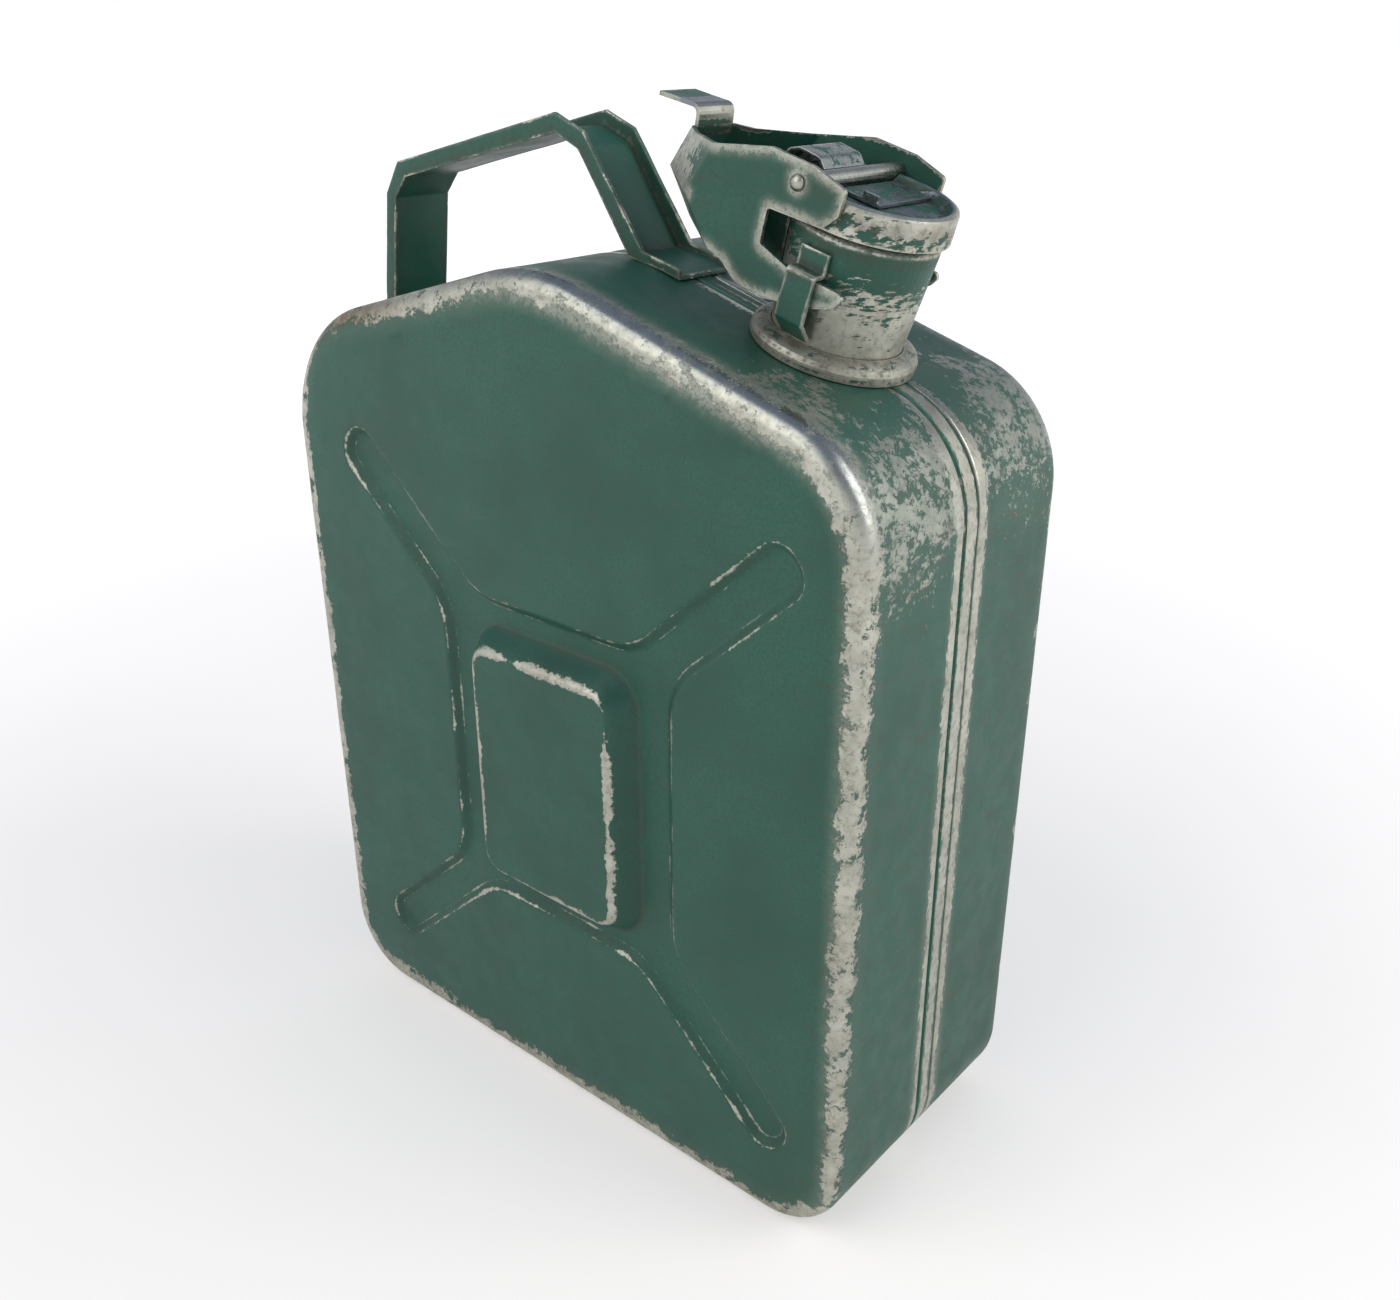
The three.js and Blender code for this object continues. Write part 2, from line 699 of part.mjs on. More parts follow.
// The hinge leaf: rolled round the pin, then arched over the cap's rim down to the barrel.
function hingeArm() {
  const clear = CAP_SHEET / 2 + GAP;
  const crestV = clear + LEAF_CREST_RISE;
  const line = [
    [HINGE_U - HINGE_EYE_RADIUS + CAP_SHEET / 2, HINGE_V],
    [-CAP_RADIUS - LEAF_STAND_OFF, LEAF_FOOT_V],
    [-CAP_RADIUS - LEAF_SHOULDER_OFF, LEAF_SHOULDER_V],
    [-CAP_RADIUS + LEAF_CREST_IN, crestV],
    [-CAP_RIM_BORE + LEAF_FALL_IN, crestV - LEAF_FALL_DROP],
    [PIVOT_U - BARREL_RADIUS - clear, PIVOT_V + LEAF_END_RISE],
  ];
  const bent = stripLoop(easedLine(line, LEAF_BEND, 3), CAP_SHEET);
  const leaf = prism(bent, -LEAF_HALF_WIDTH, LEAF_HALF_WIDTH);
  const eye = (radius, half) => crossCylinder(radius, HINGE_U, HINGE_V, -half, half);
  const rolled = join(leaf, eye(HINGE_EYE_RADIUS, LEAF_HALF_WIDTH));
  return onNeck(geometryOf(cut(rolled, eye(HINGE_PIN_RADIUS + GAP, FAR))));
}

function pivotBarrel() {
  const tube = crossCylinder(BARREL_RADIUS, PIVOT_U, PIVOT_V, -BARREL_HALF, BARREL_HALF);
  const bore = crossCylinder(PIVOT_PIN_RADIUS + GAP, PIVOT_U, PIVOT_V, -FAR, FAR);
  return onNeck(geometryOf(cut(tube, bore)));
}

// ============================================================================================
// Cam lever: two cheeks and a folded back plate bent from one sheet, with a thumb tab
// ============================================================================================
// Side view of the lever in U and V, with the rounding of each corner.
const leverSide = [
  // under the back plate and down to the claw
  [2 * LEVER_FOLD_U, LEVER_LOW_V, 0],
  [-41, LEVER_LOW_V, 5],
  [-31.5, -32.4, 5],
  [-25, -36.6, 6],
  [-15, -37.4, 12],
  // the claw that hooks under the keeper straps
  [4.5, -33.2, 10],
  [12.6, -30, 2],
  [15.3, -26.2, 1.4],
  [13.6, CLAW_TOP_V, 1.2],
  // the notch that straddles the strap's foot
  [-6.4, CLAW_TOP_V, 1.5],
  [-19, -21.7, 1],
  [-19.4, -10.7, 1],
  // the end over the cap
  [1.6, -9.4, 1.5],
  [6, -4.3, 1.5],
  [6.2, 3.6, 1.5],
  // the upper edge back to the thumb tab
  [-6.4, 6.4, 3],
  [-22.9, 6.4, 3],
  [-45.8, -0.2, 4],
  [-62, LEVER_TOP_V, 2],
  [2 * LEVER_FOLD_U, LEVER_TOP_V, 0],
];

// Plan of the bent sheet: a narrow back plate, a taper on each side, then two parallel cheeks.
function leverPlan(grow) {
  const cheekStart = LEVER_FOLD_U + LEVER_TAPER_LENGTH;
  const corners = [
    [LEVER_FOLD_U, -LEVER_BACK_HALF, LEVER_BEND],
    [cheekStart, -LEVER_HALF, LEVER_BEND],
    [FAR, -LEVER_HALF, 0],
    [FAR, LEVER_HALF, 0],
    [cheekStart, LEVER_HALF, LEVER_BEND],
    [LEVER_FOLD_U, LEVER_BACK_HALF, LEVER_BEND],
  ];
  return new THREE.Shape(roundedLoop(corners, grow, 14));
}

// The bent sheet above or below the fold that runs round it, leaning away from the fold.
function leverBend(height, lean) {
  const upright = (grow, span) => {
    const g = new THREE.ExtrudeGeometry(leverPlan(grow), { depth: span, bevelEnabled: false });
    return g.translate(0, 0, height / 2 - span / 2);
  };
  const span = Math.abs(height);
  const inside = upright(-LEVER_SHEET, 2 * span);
  const openEnd = inside.clone().translate(2 * LEVER_SHEET, 0, 0);
  const sheet = geometryOf(cut(upright(0, span), inside, openEnd));
  const shear = new THREE.Matrix4().set(1, 0, lean, 0, 0, 1, 0, 0, 0, 0, 1, 0, 0, 0, 0, 1);
  return sheet.applyMatrix4(shear).translate(0, 0, LEVER_FOLD_V);
}

// The tab the thumb pulls: it rises from the back plate and bends outwards.
function thumbTab() {
  const rise = LEVER_TOP_V - LEVER_FOLD_V;
  const plateU = LEVER_FOLD_U + LEVER_UPPER_LEAN * rise + LEVER_SHEET / 2;
  const line = [
    [plateU - THUMB_SET_BACK, LEVER_TOP_V - THUMB_OVERLAP],
    [plateU, LEVER_TOP_V],
    [plateU - THUMB_LEAN, LEVER_TOP_V + THUMB_RISE],
    [THUMB_TIP_U, THUMB_TIP_V],
  ];
  const bent = stripLoop(easedLine(line, THUMB_BEND, 4), LEVER_SHEET);
  return prism(bent, -THUMB_HALF, THUMB_HALF);
}

function lever() {
  const upper = leverBend(LEVER_RISE, LEVER_UPPER_LEAN);
  const lower = leverBend(-LEVER_RISE, LEVER_LOWER_LEAN);
  const outline = prism(roundedLoop(leverSide, 0, 18), -FAR, FAR);
  const bore = crossCylinder(PIVOT_PIN_RADIUS + GAP, PIVOT_U, PIVOT_V, -FAR, FAR);
  const shaped = common(join(upper, lower), outline);
  return onNeck(geometryOf(cut(join(shaped, thumbTab()), bore)));
}

// ============================================================================================
// Carry handle: a channel whose web faces the hand and whose flanges stand outwards
// ============================================================================================
// The hand's side of the web, from the rear leg over the grip to the front foot.
const handleWeb = [
  [-133.8, BELOW_LEG, 0],
  [-122, 350.6, HANDLE_BEND],
  [-114.8, 358.9, HANDLE_BEND],
  [-29.5, 378.7, HANDLE_BEND],
  [-18.2, 373.6, HANDLE_BEND],
  [7.2, 336.2, 2 * HANDLE_BEND],
];
// The flanges' outer edge, from the front foot back to the rear leg.
const handleRim = [
  [HANDLE_END_X, HANDLE_END_Z, 1],
  [11.6, 341.8, HANDLE_BEND],
  [-15.5, 379.8, HANDLE_BEND],
  [-29.2, 385.4, HANDLE_BEND],
  [-119.2, 364.5, HANDLE_BEND],
  [-127.6, 352, HANDLE_BEND],
  [-139.8, BELOW_LEG, 0],
];

function handle() {
  const under = HANDLE_END_Z - HANDLE_FOOT_DEPTH;
  const behind = 2 * HANDLE_END_X;
  const [rearX] = handleRim[handleRim.length - 1];
  const solidLoop = roundedLoop([...handleWeb, [HANDLE_END_X, under, 0], ...handleRim]);
  const beyond = [
    [behind, under - HANDLE_FOOT_SLOPE, 0],
    [behind, FAR, 0],
    [2 * rearX, FAR, 0],
    [2 * rearX, BELOW_LEG, 0],
  ];
  const voidLoop = roundedLoop([...handleWeb, ...beyond], -HANDLE_SHEET);
  const outer = prism(solidLoop, -HANDLE_HALF, HANDLE_HALF);
  const half = HANDLE_HALF - HANDLE_SHEET;
  const channel = cut(prism(voidLoop, -half, half), bodyTrim(GAP + HANDLE_SHEET));
  const belowLeg = box(-FAR, 0, -FAR, FAR, 0, HANDLE_LEG_END_Z);
  return cut(outer, channel, bodyTrim(GAP), belowLeg);
}

// ============================================================================================
// Assembly
// ============================================================================================
const mirrorY = (geometry) => {
  const flipped = geometry.clone().scale(1, -1, 1);
  const index = flipped.index.array;
  for (let i = 0; i < index.length; i += 3) {
    [index[i + 1], index[i + 2]] = [index[i + 2], index[i + 1]];
  }
  return flipped;
};

const front = geometryOf(frontShell());
add("front_shell", front);
add("rear_shell", mirrorY(front));
add("seam_band", seamBand());
add("neck", neck());
add("neck_collar", neckCollar(), STEEL, 0.7);
add("breather_tube", breatherTube(), STEEL, 0.7);
add("handle", handle());
add("keeper_strap_front", keeperStrap(-1));
add("keeper_strap_rear", keeperStrap(1));
add("hinge_bracket", hingeBracket());
add("hinge_pin", hingePin(), STEEL, 0.7);
add("cap", cap());
add("cap_gasket", capGasket(), RUBBER, 0, 0.9);
add("cap_bracket", capBracket(), STEEL, 0.7);
add("hinge_arm", hingeArm(), STEEL, 0.7);
add("pivot_barrel", pivotBarrel(), STEEL, 0.7);
add("lever", lever());
add("pivot_rivet", pivotRivet(), STEEL, 0.7);

export default group;
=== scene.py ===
import math

import bmesh
import bpy
import numpy as np
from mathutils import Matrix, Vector, geometry, noise


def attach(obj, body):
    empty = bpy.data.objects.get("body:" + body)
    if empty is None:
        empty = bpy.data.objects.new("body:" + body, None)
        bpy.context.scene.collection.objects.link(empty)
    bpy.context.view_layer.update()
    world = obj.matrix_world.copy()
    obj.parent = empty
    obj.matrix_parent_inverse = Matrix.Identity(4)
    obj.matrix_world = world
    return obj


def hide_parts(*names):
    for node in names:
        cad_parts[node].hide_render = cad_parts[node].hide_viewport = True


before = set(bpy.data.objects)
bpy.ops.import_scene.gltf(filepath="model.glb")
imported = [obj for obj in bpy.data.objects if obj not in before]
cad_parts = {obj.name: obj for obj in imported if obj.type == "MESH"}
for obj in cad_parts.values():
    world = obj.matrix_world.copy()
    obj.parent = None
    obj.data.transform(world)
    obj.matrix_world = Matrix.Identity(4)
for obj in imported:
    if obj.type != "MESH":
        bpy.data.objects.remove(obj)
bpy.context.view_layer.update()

MM = 0.001
scene = bpy.context.scene

# ---------------------------------------------------------------- shape of the pressed body, mm
WIDTH, DEPTH = 280.0, 120.0
HALF_W, HALF_D = WIDTH / 2, DEPTH / 2
BODY_TOP = 345
BODY_MIDDLE_Z = 150
EDGE_R = 6.5  # the rim between the face and the side wall
SHEET = 1.2
SHELL_EDGE = 4.9  # from the middle plane to the lip of each shell
BODY_CORNERS = [  # x, z, radius
    (-HALF_W, 0, 32),
    (HALF_W, 0, 32),
    (HALF_W, 298.5, 43),
    (-1, 342.5, 78),
    (-HALF_W, 304.5, 56),
]
CROSS_X, CROSS_Z = 5.0, 151.5
CROSS_DEPTH = 3.4
CROSS_DRAFT = 2.4
RING_HALF_X, RING_HALF_Z = 56.0, 63.0  # the hollow frame in the middle of the cross
ARM_HALF, ARM_TIP_FLAT, ARM_FILLET = 7.3, 0.8, 30.0
ARM_ROOT, ARM_TIP = (46.0, 57.5), (102.5, 108.5)  # on an arm's middle line, from the cross's middle
PANEL_X, PANEL_Z = 4.0, 150.0
PANEL_HALF_X, PANEL_HALF_Z = 41.7, 55.5
PANEL_RISE, PANEL_DRAFT, PANEL_CORNER = 6.8, 6.8, 15.0
MOUTH_R = 21.2
MOUTH_LOW, MOUTH_HIGH = -80, -30  # the stretch of the neck's axis that meets the shoulder

# ---------------------------------------------------------------- how the body is divided, mm
# the lip turned in at the seam: inset, and height over the shell's edge
LIP = [(1.45, -0.02), (0.75, 0.0), (0.3, 0.14), (0.07, 0.42), (0, 0.9)]
WALL_STEPS, RIM_STEPS = 12, 10
FACE_INSETS = (8.5, 11, 14)
OUTLINE_STEP, CROSS_STEP, PANEL_STEP = 3.0, 8, 9  # degrees
OUTLINE_GAP, CROSS_GAP, PANEL_GAP, GRID_GAP = 5, 3.5, 3.0, 5.0
CROSS_LINES = (4.0, 2.2, 1.1, 0.5, 0, -0.5, -1.0, -1.5, -2.1, -2.7, -3.3, -4.2)
PANEL_LINES = (2.5, 1.2, 0.6, 0, -0.9, -1.8, -2.8, -3.8, -4.8, -5.6, -6.3, -6.9, -7.6, -9, -11.5)
GRID_INSET = 3
CROSS_CLEAR, PANEL_CLEAR = (-6.4, 6.2), (-13.5, 4.2)  # the grid keeps out of these distances
DENTS = [(0.22, 38, 3), (0.09, 14, 9)]  # depth, size, seed
FAR = 60.0  # stands for any distance too long to matter to a mask

# neck frame: u down the shoulder, v up the axis, from the middle of the cap's rim
RIM = Vector((98.2, 0, 366.9))
LEAN = math.radians(16.5)
U_AXIS = Vector((math.cos(LEAN), 0, -math.sin(LEAN)))
V_AXIS = Vector((math.sin(LEAN), 0, math.cos(LEAN)))


def on_neck(u, y, v):
    return RIM + U_AXIS * u + V_AXIS * v + Vector((0, y, 0))


# ---------------------------------------------------------------- outlines
def rounded_loop(corners, grow, step):
    """Closed outline from corners (x, z, radius), moved outwards by grow.

    Its point count does not depend on grow, so loops of the same corners pair up point by point.
    """
    smallest_radius = 0.02
    n = len(corners)
    pts = [np.array(c[:2], float) for c in corners]
    out = []
    for i in range(n):
        a, b, c = pts[i - 1], pts[i], pts[(i + 1) % n]
        d0 = (b - a) / np.linalg.norm(b - a)
        d1 = (c - b) / np.linalg.norm(c - b)
        n0 = np.array([d0[1], -d0[0]])
        n1 = np.array([d1[1], -d1[0]])
        cross = d0[0] * d1[1] - d0[1] * d1[0]
        p0, p1 = b + n0 * grow, b + n1 * grow
        gap = p1 - p0
        tip = p0 + d0 * ((gap[0] * d1[1] - gap[1] * d1[0]) / cross)
        turn = math.atan2(cross, float(d0 @ d1))
        r = max(smallest_radius, corners[i][2] + (grow if turn > 0 else -grow))
        start = tip - d0 * (r * math.tan(abs(turn) / 2))
        centre = start + np.array([-d0[1], d0[0]]) * math.copysign(1, turn) * r
        x, z = start - centre
        steps = max(2, math.ceil(abs(math.degrees(turn)) / step))
        for k in range(steps + 1):
            t = turn * k / steps
            spun = (x * math.cos(t) - z * math.sin(t), x * math.sin(t) + z * math.cos(t))
            out.append(centre + np.array(spun))
    return np.array(out)


def resample(loop, spacing):
    """Adds points on the long straight stretches of a closed outline."""
    out = []
    for i, p in enumerate(loop):
        q = loop[(i + 1) % len(loop)]
        count = max(1, int(round(np.linalg.norm(q - p) / spacing)))
        for k in range(count):
            out.append(p + (q - p) * k / count)
    return np.array(out)


def cross_corners():
    """The pressed cross: a hollow frame with an arm out of each corner."""
    tilt = math.atan2(ARM_TIP[1] - ARM_ROOT[1], ARM_TIP[0] - ARM_ROOT[0])
    along = np.array([math.cos(tilt), math.sin(tilt)]) * ARM_HALF
    across = np.array([-along[1], along[0]])
    tip = np.array(ARM_TIP) + along
    up, low = tip + across, tip - across
    tip_radius = ARM_HALF - ARM_TIP_FLAT
    quarter = [
        (RING_HALF_X, low[1] - (low[0] - RING_HALF_X) * math.tan(tilt), ARM_FILLET),
        (low[0], low[1], tip_radius),
        (up[0], up[1], tip_radius),
        (up[0] - (up[1] - RING_HALF_Z) / math.tan(tilt), RING_HALF_Z, ARM_FILLET),
    ]

    def mirrored(sx, sz):
        q = [(CROSS_X + x * sx, CROSS_Z + z * sz, r) for x, z, r in quarter]
        return q[::-1] if sx * sz < 0 else q

    return mirrored(1, 1) + mirrored(-1, 1) + mirrored(-1, -1) + mirrored(1, -1)


def panel_corners():
    x0, x1 = PANEL_X - PANEL_HALF_X, PANEL_X + PANEL_HALF_X
    z0, z1 = PANEL_Z - PANEL_HALF_Z, PANEL_Z + PANEL_HALF_Z
    return [(x, z, PANEL_CORNER) for x, z in ((x0, z0), (x1, z0), (x1, z1), (x0, z1))]


def signed_distance(points, loop):
    """Distance from each point to a closed outline, negative inside."""
    a = loop
    b = np.roll(loop, -1, axis=0)
    d = b - a
    best = np.full(len(points), 1e9)
    inside = np.zeros(len(points), bool)
    for i in range(len(a)):
        w = points - a[i]
        t = np.clip((w @ d[i]) / max(1e-12, d[i] @ d[i]), 0, 1)
        best = np.minimum(best, np.hypot(*(w - t[:, None] * d[i]).T))
        crosses = (a[i, 1] > points[:, 1]) != (b[i, 1] > points[:, 1])
        dz = b[i, 1] - a[i, 1]
        x = a[i, 0] + (points[:, 1] - a[i, 1]) * d[i, 0] / (dz if abs(dz) > 1e-12 else 1e-12)
        inside ^= crosses & (points[:, 0] < x)
    return np.where(inside, -best, best)


def smooth(t):
    t = np.clip(t, 0, 1)
    return t * t * (3 - 2 * t)


CROSS_EDGE = rounded_loop(cross_corners(), CROSS_DRAFT, CROSS_STEP)
PANEL_FOOT = rounded_loop(panel_corners(), 0, CROSS_STEP)


def face_distances(points):
    """Distance of each (x, z) from the cross's edge and from the foot of the raised panel."""
    return signed_distance(points, CROSS_EDGE), signed_distance(points, PANEL_FOOT)


def face_height(points):
    """How far the pressed face stands out of its flat level at (x, z), in mm."""
    cross_lead, cross_fade = 1.4, 2.8  # how far the soft edges run past the drawn ones
    panel_lead, panel_fade = 0.8, 1.2
    cross_share = 0.85  # the sheet draws a little less than the full depth
    slope_share, crown = 0.35, 1.25  # the panel's side: part soft ramp, part round shoulder
    cross, panel = face_distances(points)
    down = -CROSS_DEPTH * cross_share * smooth((cross_lead - cross) / (CROSS_DRAFT + cross_fade))
    t = (panel_lead - panel) / (PANEL_DRAFT + panel_fade)
    ramp = np.clip(t, 0, 1)
    side = slope_share * smooth(ramp) + (1 - slope_share) * (1 - (1 - ramp) ** crown)
    return down + np.where(t > 0, (CROSS_DEPTH + PANEL_RISE) * side, 0)


# ---------------------------------------------------------------- meshes
def new_object(name, node, verts, faces, body, material, attrs):
    """A smooth mesh object that stands for one CAD node. Each attr holds a number for every point."""
    mesh = bpy.data.meshes.new(name)
    mesh.from_pydata([tuple(v) for v in verts], [], [tuple(f) for f in faces])
    mesh.update()
    obj = bpy.data.objects.new(name, mesh)
    scene.collection.objects.link(obj)
    for key, values in attrs.items():
        layer = mesh.attributes.new(key, "FLOAT", "POINT")
        layer.data.foreach_set("value", np.asarray(values, np.float32))
    mesh.shade_smooth()
    mesh.materials.append(material)
    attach(obj, body)
    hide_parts(node)
    return obj


def dents(p, amount, scale, seed):
    return amount * noise.noise(Vector(p) / scale + Vector((seed, seed * 1.7, -seed)))


def shell_rings():
    """(inset from the outline, distance from the middle plane) of each ring, from lip to face."""
    rings = [(inset, SHELL_EDGE + up) for inset, up in LIP]
    wall_start, wall_end = rings[-1][1], HALF_D - EDGE_R
    for k in range(1, WALL_STEPS + 1):
        rings.append((0, wall_start + (wall_end - wall_start) * k / WALL_STEPS))
    for k in range(1, RIM_STEPS + 1):
        t = math.pi / 2 * k / RIM_STEPS
        rings.append((EDGE_R * (1 - math.cos(t)), wall_end + EDGE_R * math.sin(t)))
    return rings + [(inset, HALF_D) for inset in FACE_INSETS]


def ring_loops(rings, base):
    """The outline of each ring, all divided as the body's own outline is."""
    counts = []
    for p, q in zip(base, np.roll(base, -1, axis=0)):
        counts.append(max(1, int(round(np.linalg.norm(q - p) / OUTLINE_GAP))))
    loops = []
    for inset, _ in rings:
        loop = rounded_loop(BODY_CORNERS, -inset, OUTLINE_STEP)
        points = []
        for p, q, count in zip(loop, np.roll(loop, -1, axis=0), counts):
            points += [p + (q - p) * k / count for k in range(count)]
        loops.append(np.array(points))
    return loops


def pressed_face(border):
    """Points and triangles of the face inside the border, and which points are the border's own.

    Closely spaced lines follow the pressing, and a loose grid fills the flats between them.
    """
    lines = [border]
    for off in CROSS_LINES:
        line = rounded_loop(cross_corners(), CROSS_DRAFT + off, CROSS_STEP)
        lines.append(resample(line, CROSS_GAP))
    for off in PANEL_LINES:
        line = rounded_loop(panel_corners(), off, PANEL_STEP)
        lines.append(resample(line, PANEL_GAP))
    pts, edges = [], []
    for line in lines:
        start = len(pts)
        pts += [tuple(p) for p in line]
        edges += [(start + i, start + (i + 1) % len(line)) for i in range(len(line))]
    xs = np.arange(-HALF_W, HALF_W, GRID_GAP)
    zs = np.arange(0, BODY_TOP, GRID_GAP)
    grid = np.array([(x + (GRID_GAP / 2 if k % 2 else 0), z) for k, z in enumerate(zs) for x in xs])
    keep = signed_distance(grid, border) < -GRID_INSET
    for distance, (inner, outer) in zip(face_distances(grid), (CROSS_CLEAR, PANEL_CLEAR)):
        keep &= (distance > outer) | (distance < inner)
    pts += [tuple(p) for p in grid[keep]]
    flat, _, tris, origins, _, _ = geometry.delaunay_2d_cdt(
        [Vector(p) for p in pts], edges, [], 0, 1e-4
    )
    flat = np.array([(p.x, p.y) for p in flat])
    centre = np.array([flat[list(t)].mean(0) for t in tris])
    tris = [t for t, d in zip(tris, signed_distance(centre, border)) if d < 0]
    on_border = {i: k for i, sources in enumerate(origins) for k in sources if k < len(border)}
    return flat, tris, on_border


def rim_distances(v, base):
    """Each point's inset from the outline, and its way round the rim from the middle of the round.

    The second is negative on the side wall and positive on the face.
    """
    inset = -signed_distance(v[:, [0, 2]], base)
    depth = HALF_D - np.abs(v[:, 1])
    half_arc = EDGE_R * math.pi / 4
    on_face = np.where(inset > EDGE_R, inset - EDGE_R + half_arc, 0)
    arc = np.where(depth > EDGE_R, -(depth - EDGE_R) - half_arc, on_face)
    on_round = (depth <= EDGE_R) & (inset <= EDGE_R)
    turn = np.arctan2(np.clip(EDGE_R - depth, 0, None), np.clip(EDGE_R - inset, 1e-6, None))
    return inset, np.where(on_round, EDGE_R * (turn - math.pi / 4), arc)


def dented(p, arc, side):
    """A point of the shell moved by shallow dents, which fade at the rim, the lip and the base."""
    rim_share, rim_reach = 0.4, 12
    lip_clear, lip_reach = 1, 8
    base_height = 3
    k = min(1.0, abs(arc) / rim_reach) * (1 - rim_share) + rim_share
    w = sum(dents(p, depth, size, side * seed) for depth, size, seed in DENTS)
    if p[1] * side > HALF_D - EDGE_R:
        return p[0], p[1] + side * w * k, p[2]
    c = Vector((p[0], 0, p[2] - BODY_MIDDLE_Z)).normalized()
    fade = min(1.0, max(0.0, (abs(p[1]) - SHELL_EDGE - lip_clear) / lip_reach)) * k
    if p[2] < base_height:
        fade = 0.0
    return p[0] - c.x * abs(w) * fade, p[1], p[2] - c.z * abs(w) * fade


def half_shell(name, node, side, material):
    """Front (side -1) or rear (+1) pressing: cross and panel, rounded rim, side wall and lip."""
    rings = shell_rings()
    base = rounded_loop(BODY_CORNERS, 0, OUTLINE_STEP)
    loops = ring_loops(rings, base)
    n = len(loops[0])
    verts, faces = [], []
    for loop, (_, y) in zip(loops, rings):
        verts += [(p[0], side * y, p[1]) for p in loop]
    for r in range(len(rings) - 1):
        for i in range(n):
            j = (i + 1) % n
            f = (r * n + i, r * n + j, (r + 1) * n + j, (r + 1) * n + i)
            faces.append(f if side < 0 else f[::-1])

    flat, tris, on_border = pressed_face(loops[-1])
    index = []
    for i, (p, h) in enumerate(zip(flat, face_height(flat))):
        if i in on_border:
            index.append((len(rings) - 1) * n + on_border[i])
        else:
            index.append(len(verts))
            verts.append((p[0], side * (HALF_D + h), p[1]))
    for t in tris:
        a, b, c = (flat[i] for i in t)
        ccw = (b[0] - a[0]) * (c[1] - a[1]) - (b[1] - a[1]) * (c[0] - a[0]) > 0
        f = [index[i] for i in t]
        if len(set(f)) == 3:
            faces.append(f if (ccw == (side < 0)) else f[::-1])

    v = np.array(verts)
    inset, arc = rim_distances(v, base)
    cross, panel = face_distances(v[:, [0, 2]])
    on_face = (inset > EDGE_R) & (np.abs(v[:, 1]) > HALF_D - EDGE_R)
    attrs = {
        "rim": arc,
        "seam": np.abs(v[:, 1]) - SHELL_EDGE,
        "cross": np.where(on_face, cross, FAR),
        "panel": np.where(on_face, panel, FAR),
    }
    moved = np.array([dented(p, a, side) for p, a in zip(verts, arc)])
    obj = new_object(name, node, moved * MM, faces, "can", material, attrs)
    cut_mouth(obj)
    thick = obj.modifiers.new("sheet", "SOLIDIFY")
    thick.thickness = SHEET * MM
    thick.offset = -1


def cut_mouth(obj):
    """Opens the hole under the neck, and moves the points at its edge onto a circle."""
    edge_reach, seam_clear = 6, 0.6
    bm = bmesh.new()
    bm.from_mesh(obj.data)

    def place(co):
        d = co / MM - RIM
        return d.dot(U_AXIS), d.y, d.dot(V_AXIS)

    gone = []
    for f in bm.faces:
        u, y, v = place(f.calc_center_median())
        if MOUTH_LOW < v < MOUTH_HIGH and math.hypot(u, y) < MOUTH_R:
            gone.append(f)
    bmesh.ops.delete(bm, geom=gone, context="FACES")
    for vert in bm.verts:
        if not vert.is_boundary:
            continue
        u, y, v = place(vert.co)
        r = math.hypot(u, y)
        near = MOUTH_LOW < v < MOUTH_HIGH and r < MOUTH_R + edge_reach
        if near and abs(y) > SHELL_EDGE + seam_clear:
            k = MOUTH_R / r
            vert.co = on_neck(u * k, y * k, v) * MM
    bm.to_mesh(obj.data)
    bm.free()


def soften(name, node, body, material, grain, bevel=0.3, sharp=25, wobble=0.0):
    """A finely divided copy of a CAD node's surface, with rounded edges and shallow dents.

    In mm: grain is the longest line left in the mesh, bevel the width of the rounding and wobble
    the depth of the dents. Edges turn by more than sharp, in degrees. Each point keeps its distance
    from the nearest outer edge and inner corner.
    """
    weld, flat_angle, splits = 2e-6, 0.6, 7
    dent_size, first_seed, next_seed = 17, 5, 7
    bm = bmesh.new()
    bm.from_mesh(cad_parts[node].data)
    bmesh.ops.remove_doubles(bm, verts=bm.verts, dist=weld)
    bmesh.ops.dissolve_limit(
        bm, angle_limit=math.radians(flat_angle), verts=bm.verts, edges=bm.edges
    )
    rounded, convex, hollow = [], [], []
    for e in bm.edges:
        if len(e.link_faces) == 2 and e.calc_face_angle(0) > math.radians(sharp):
            ends = (np.array(e.verts[0].co / MM), np.array(e.verts[1].co / MM))
            if e.is_convex:
                rounded.append(e)
                convex.append(ends)
            else:
                hollow.append(ends)
    bmesh.ops.bevel(
        bm, geom=rounded, offset=bevel * MM, offset_type="OFFSET", segments=2, profile=0.55,
        affect="EDGES", clamp_overlap=True,
    )
    bmesh.ops.triangulate(bm, faces=bm.faces)
    for _ in range(splits):
        long = [e for e in bm.edges if e.calc_length() > grain * MM]
        if not long:
            break
        bmesh.ops.subdivide_edges(bm, edges=long, cuts=1)
        bmesh.ops.triangulate(bm, faces=[f for f in bm.faces if len(f.verts) > 3])
    verts = np.array([v.co for v in bm.verts]) / MM
    faces = [[v.index for v in f.verts] for f in bm.faces]
    bm.free()

    def nearest(segments):
        best = np.full(len(verts), FAR)
        for a, b in segments:
            d = b - a
            w = verts - a
            t = np.clip((w @ d) / max(1e-9, d @ d), 0, 1)
            best = np.minimum(best, np.linalg.norm(w - t[:, None] * d, axis=1))
        return best

    attrs = {"edge": nearest(convex), "nook": nearest(hollow)}
    if wobble:
        verts = np.array([
            [c + dents(p, wobble, dent_size, first_seed + next_seed * k) for k, c in enumerate(p)]
            for p in verts
        ])
    obj = new_object(name, node, verts * MM, faces, body, material, attrs)
    obj.modifiers.new("normals", "WEIGHTED_NORMAL").keep_sharp = True


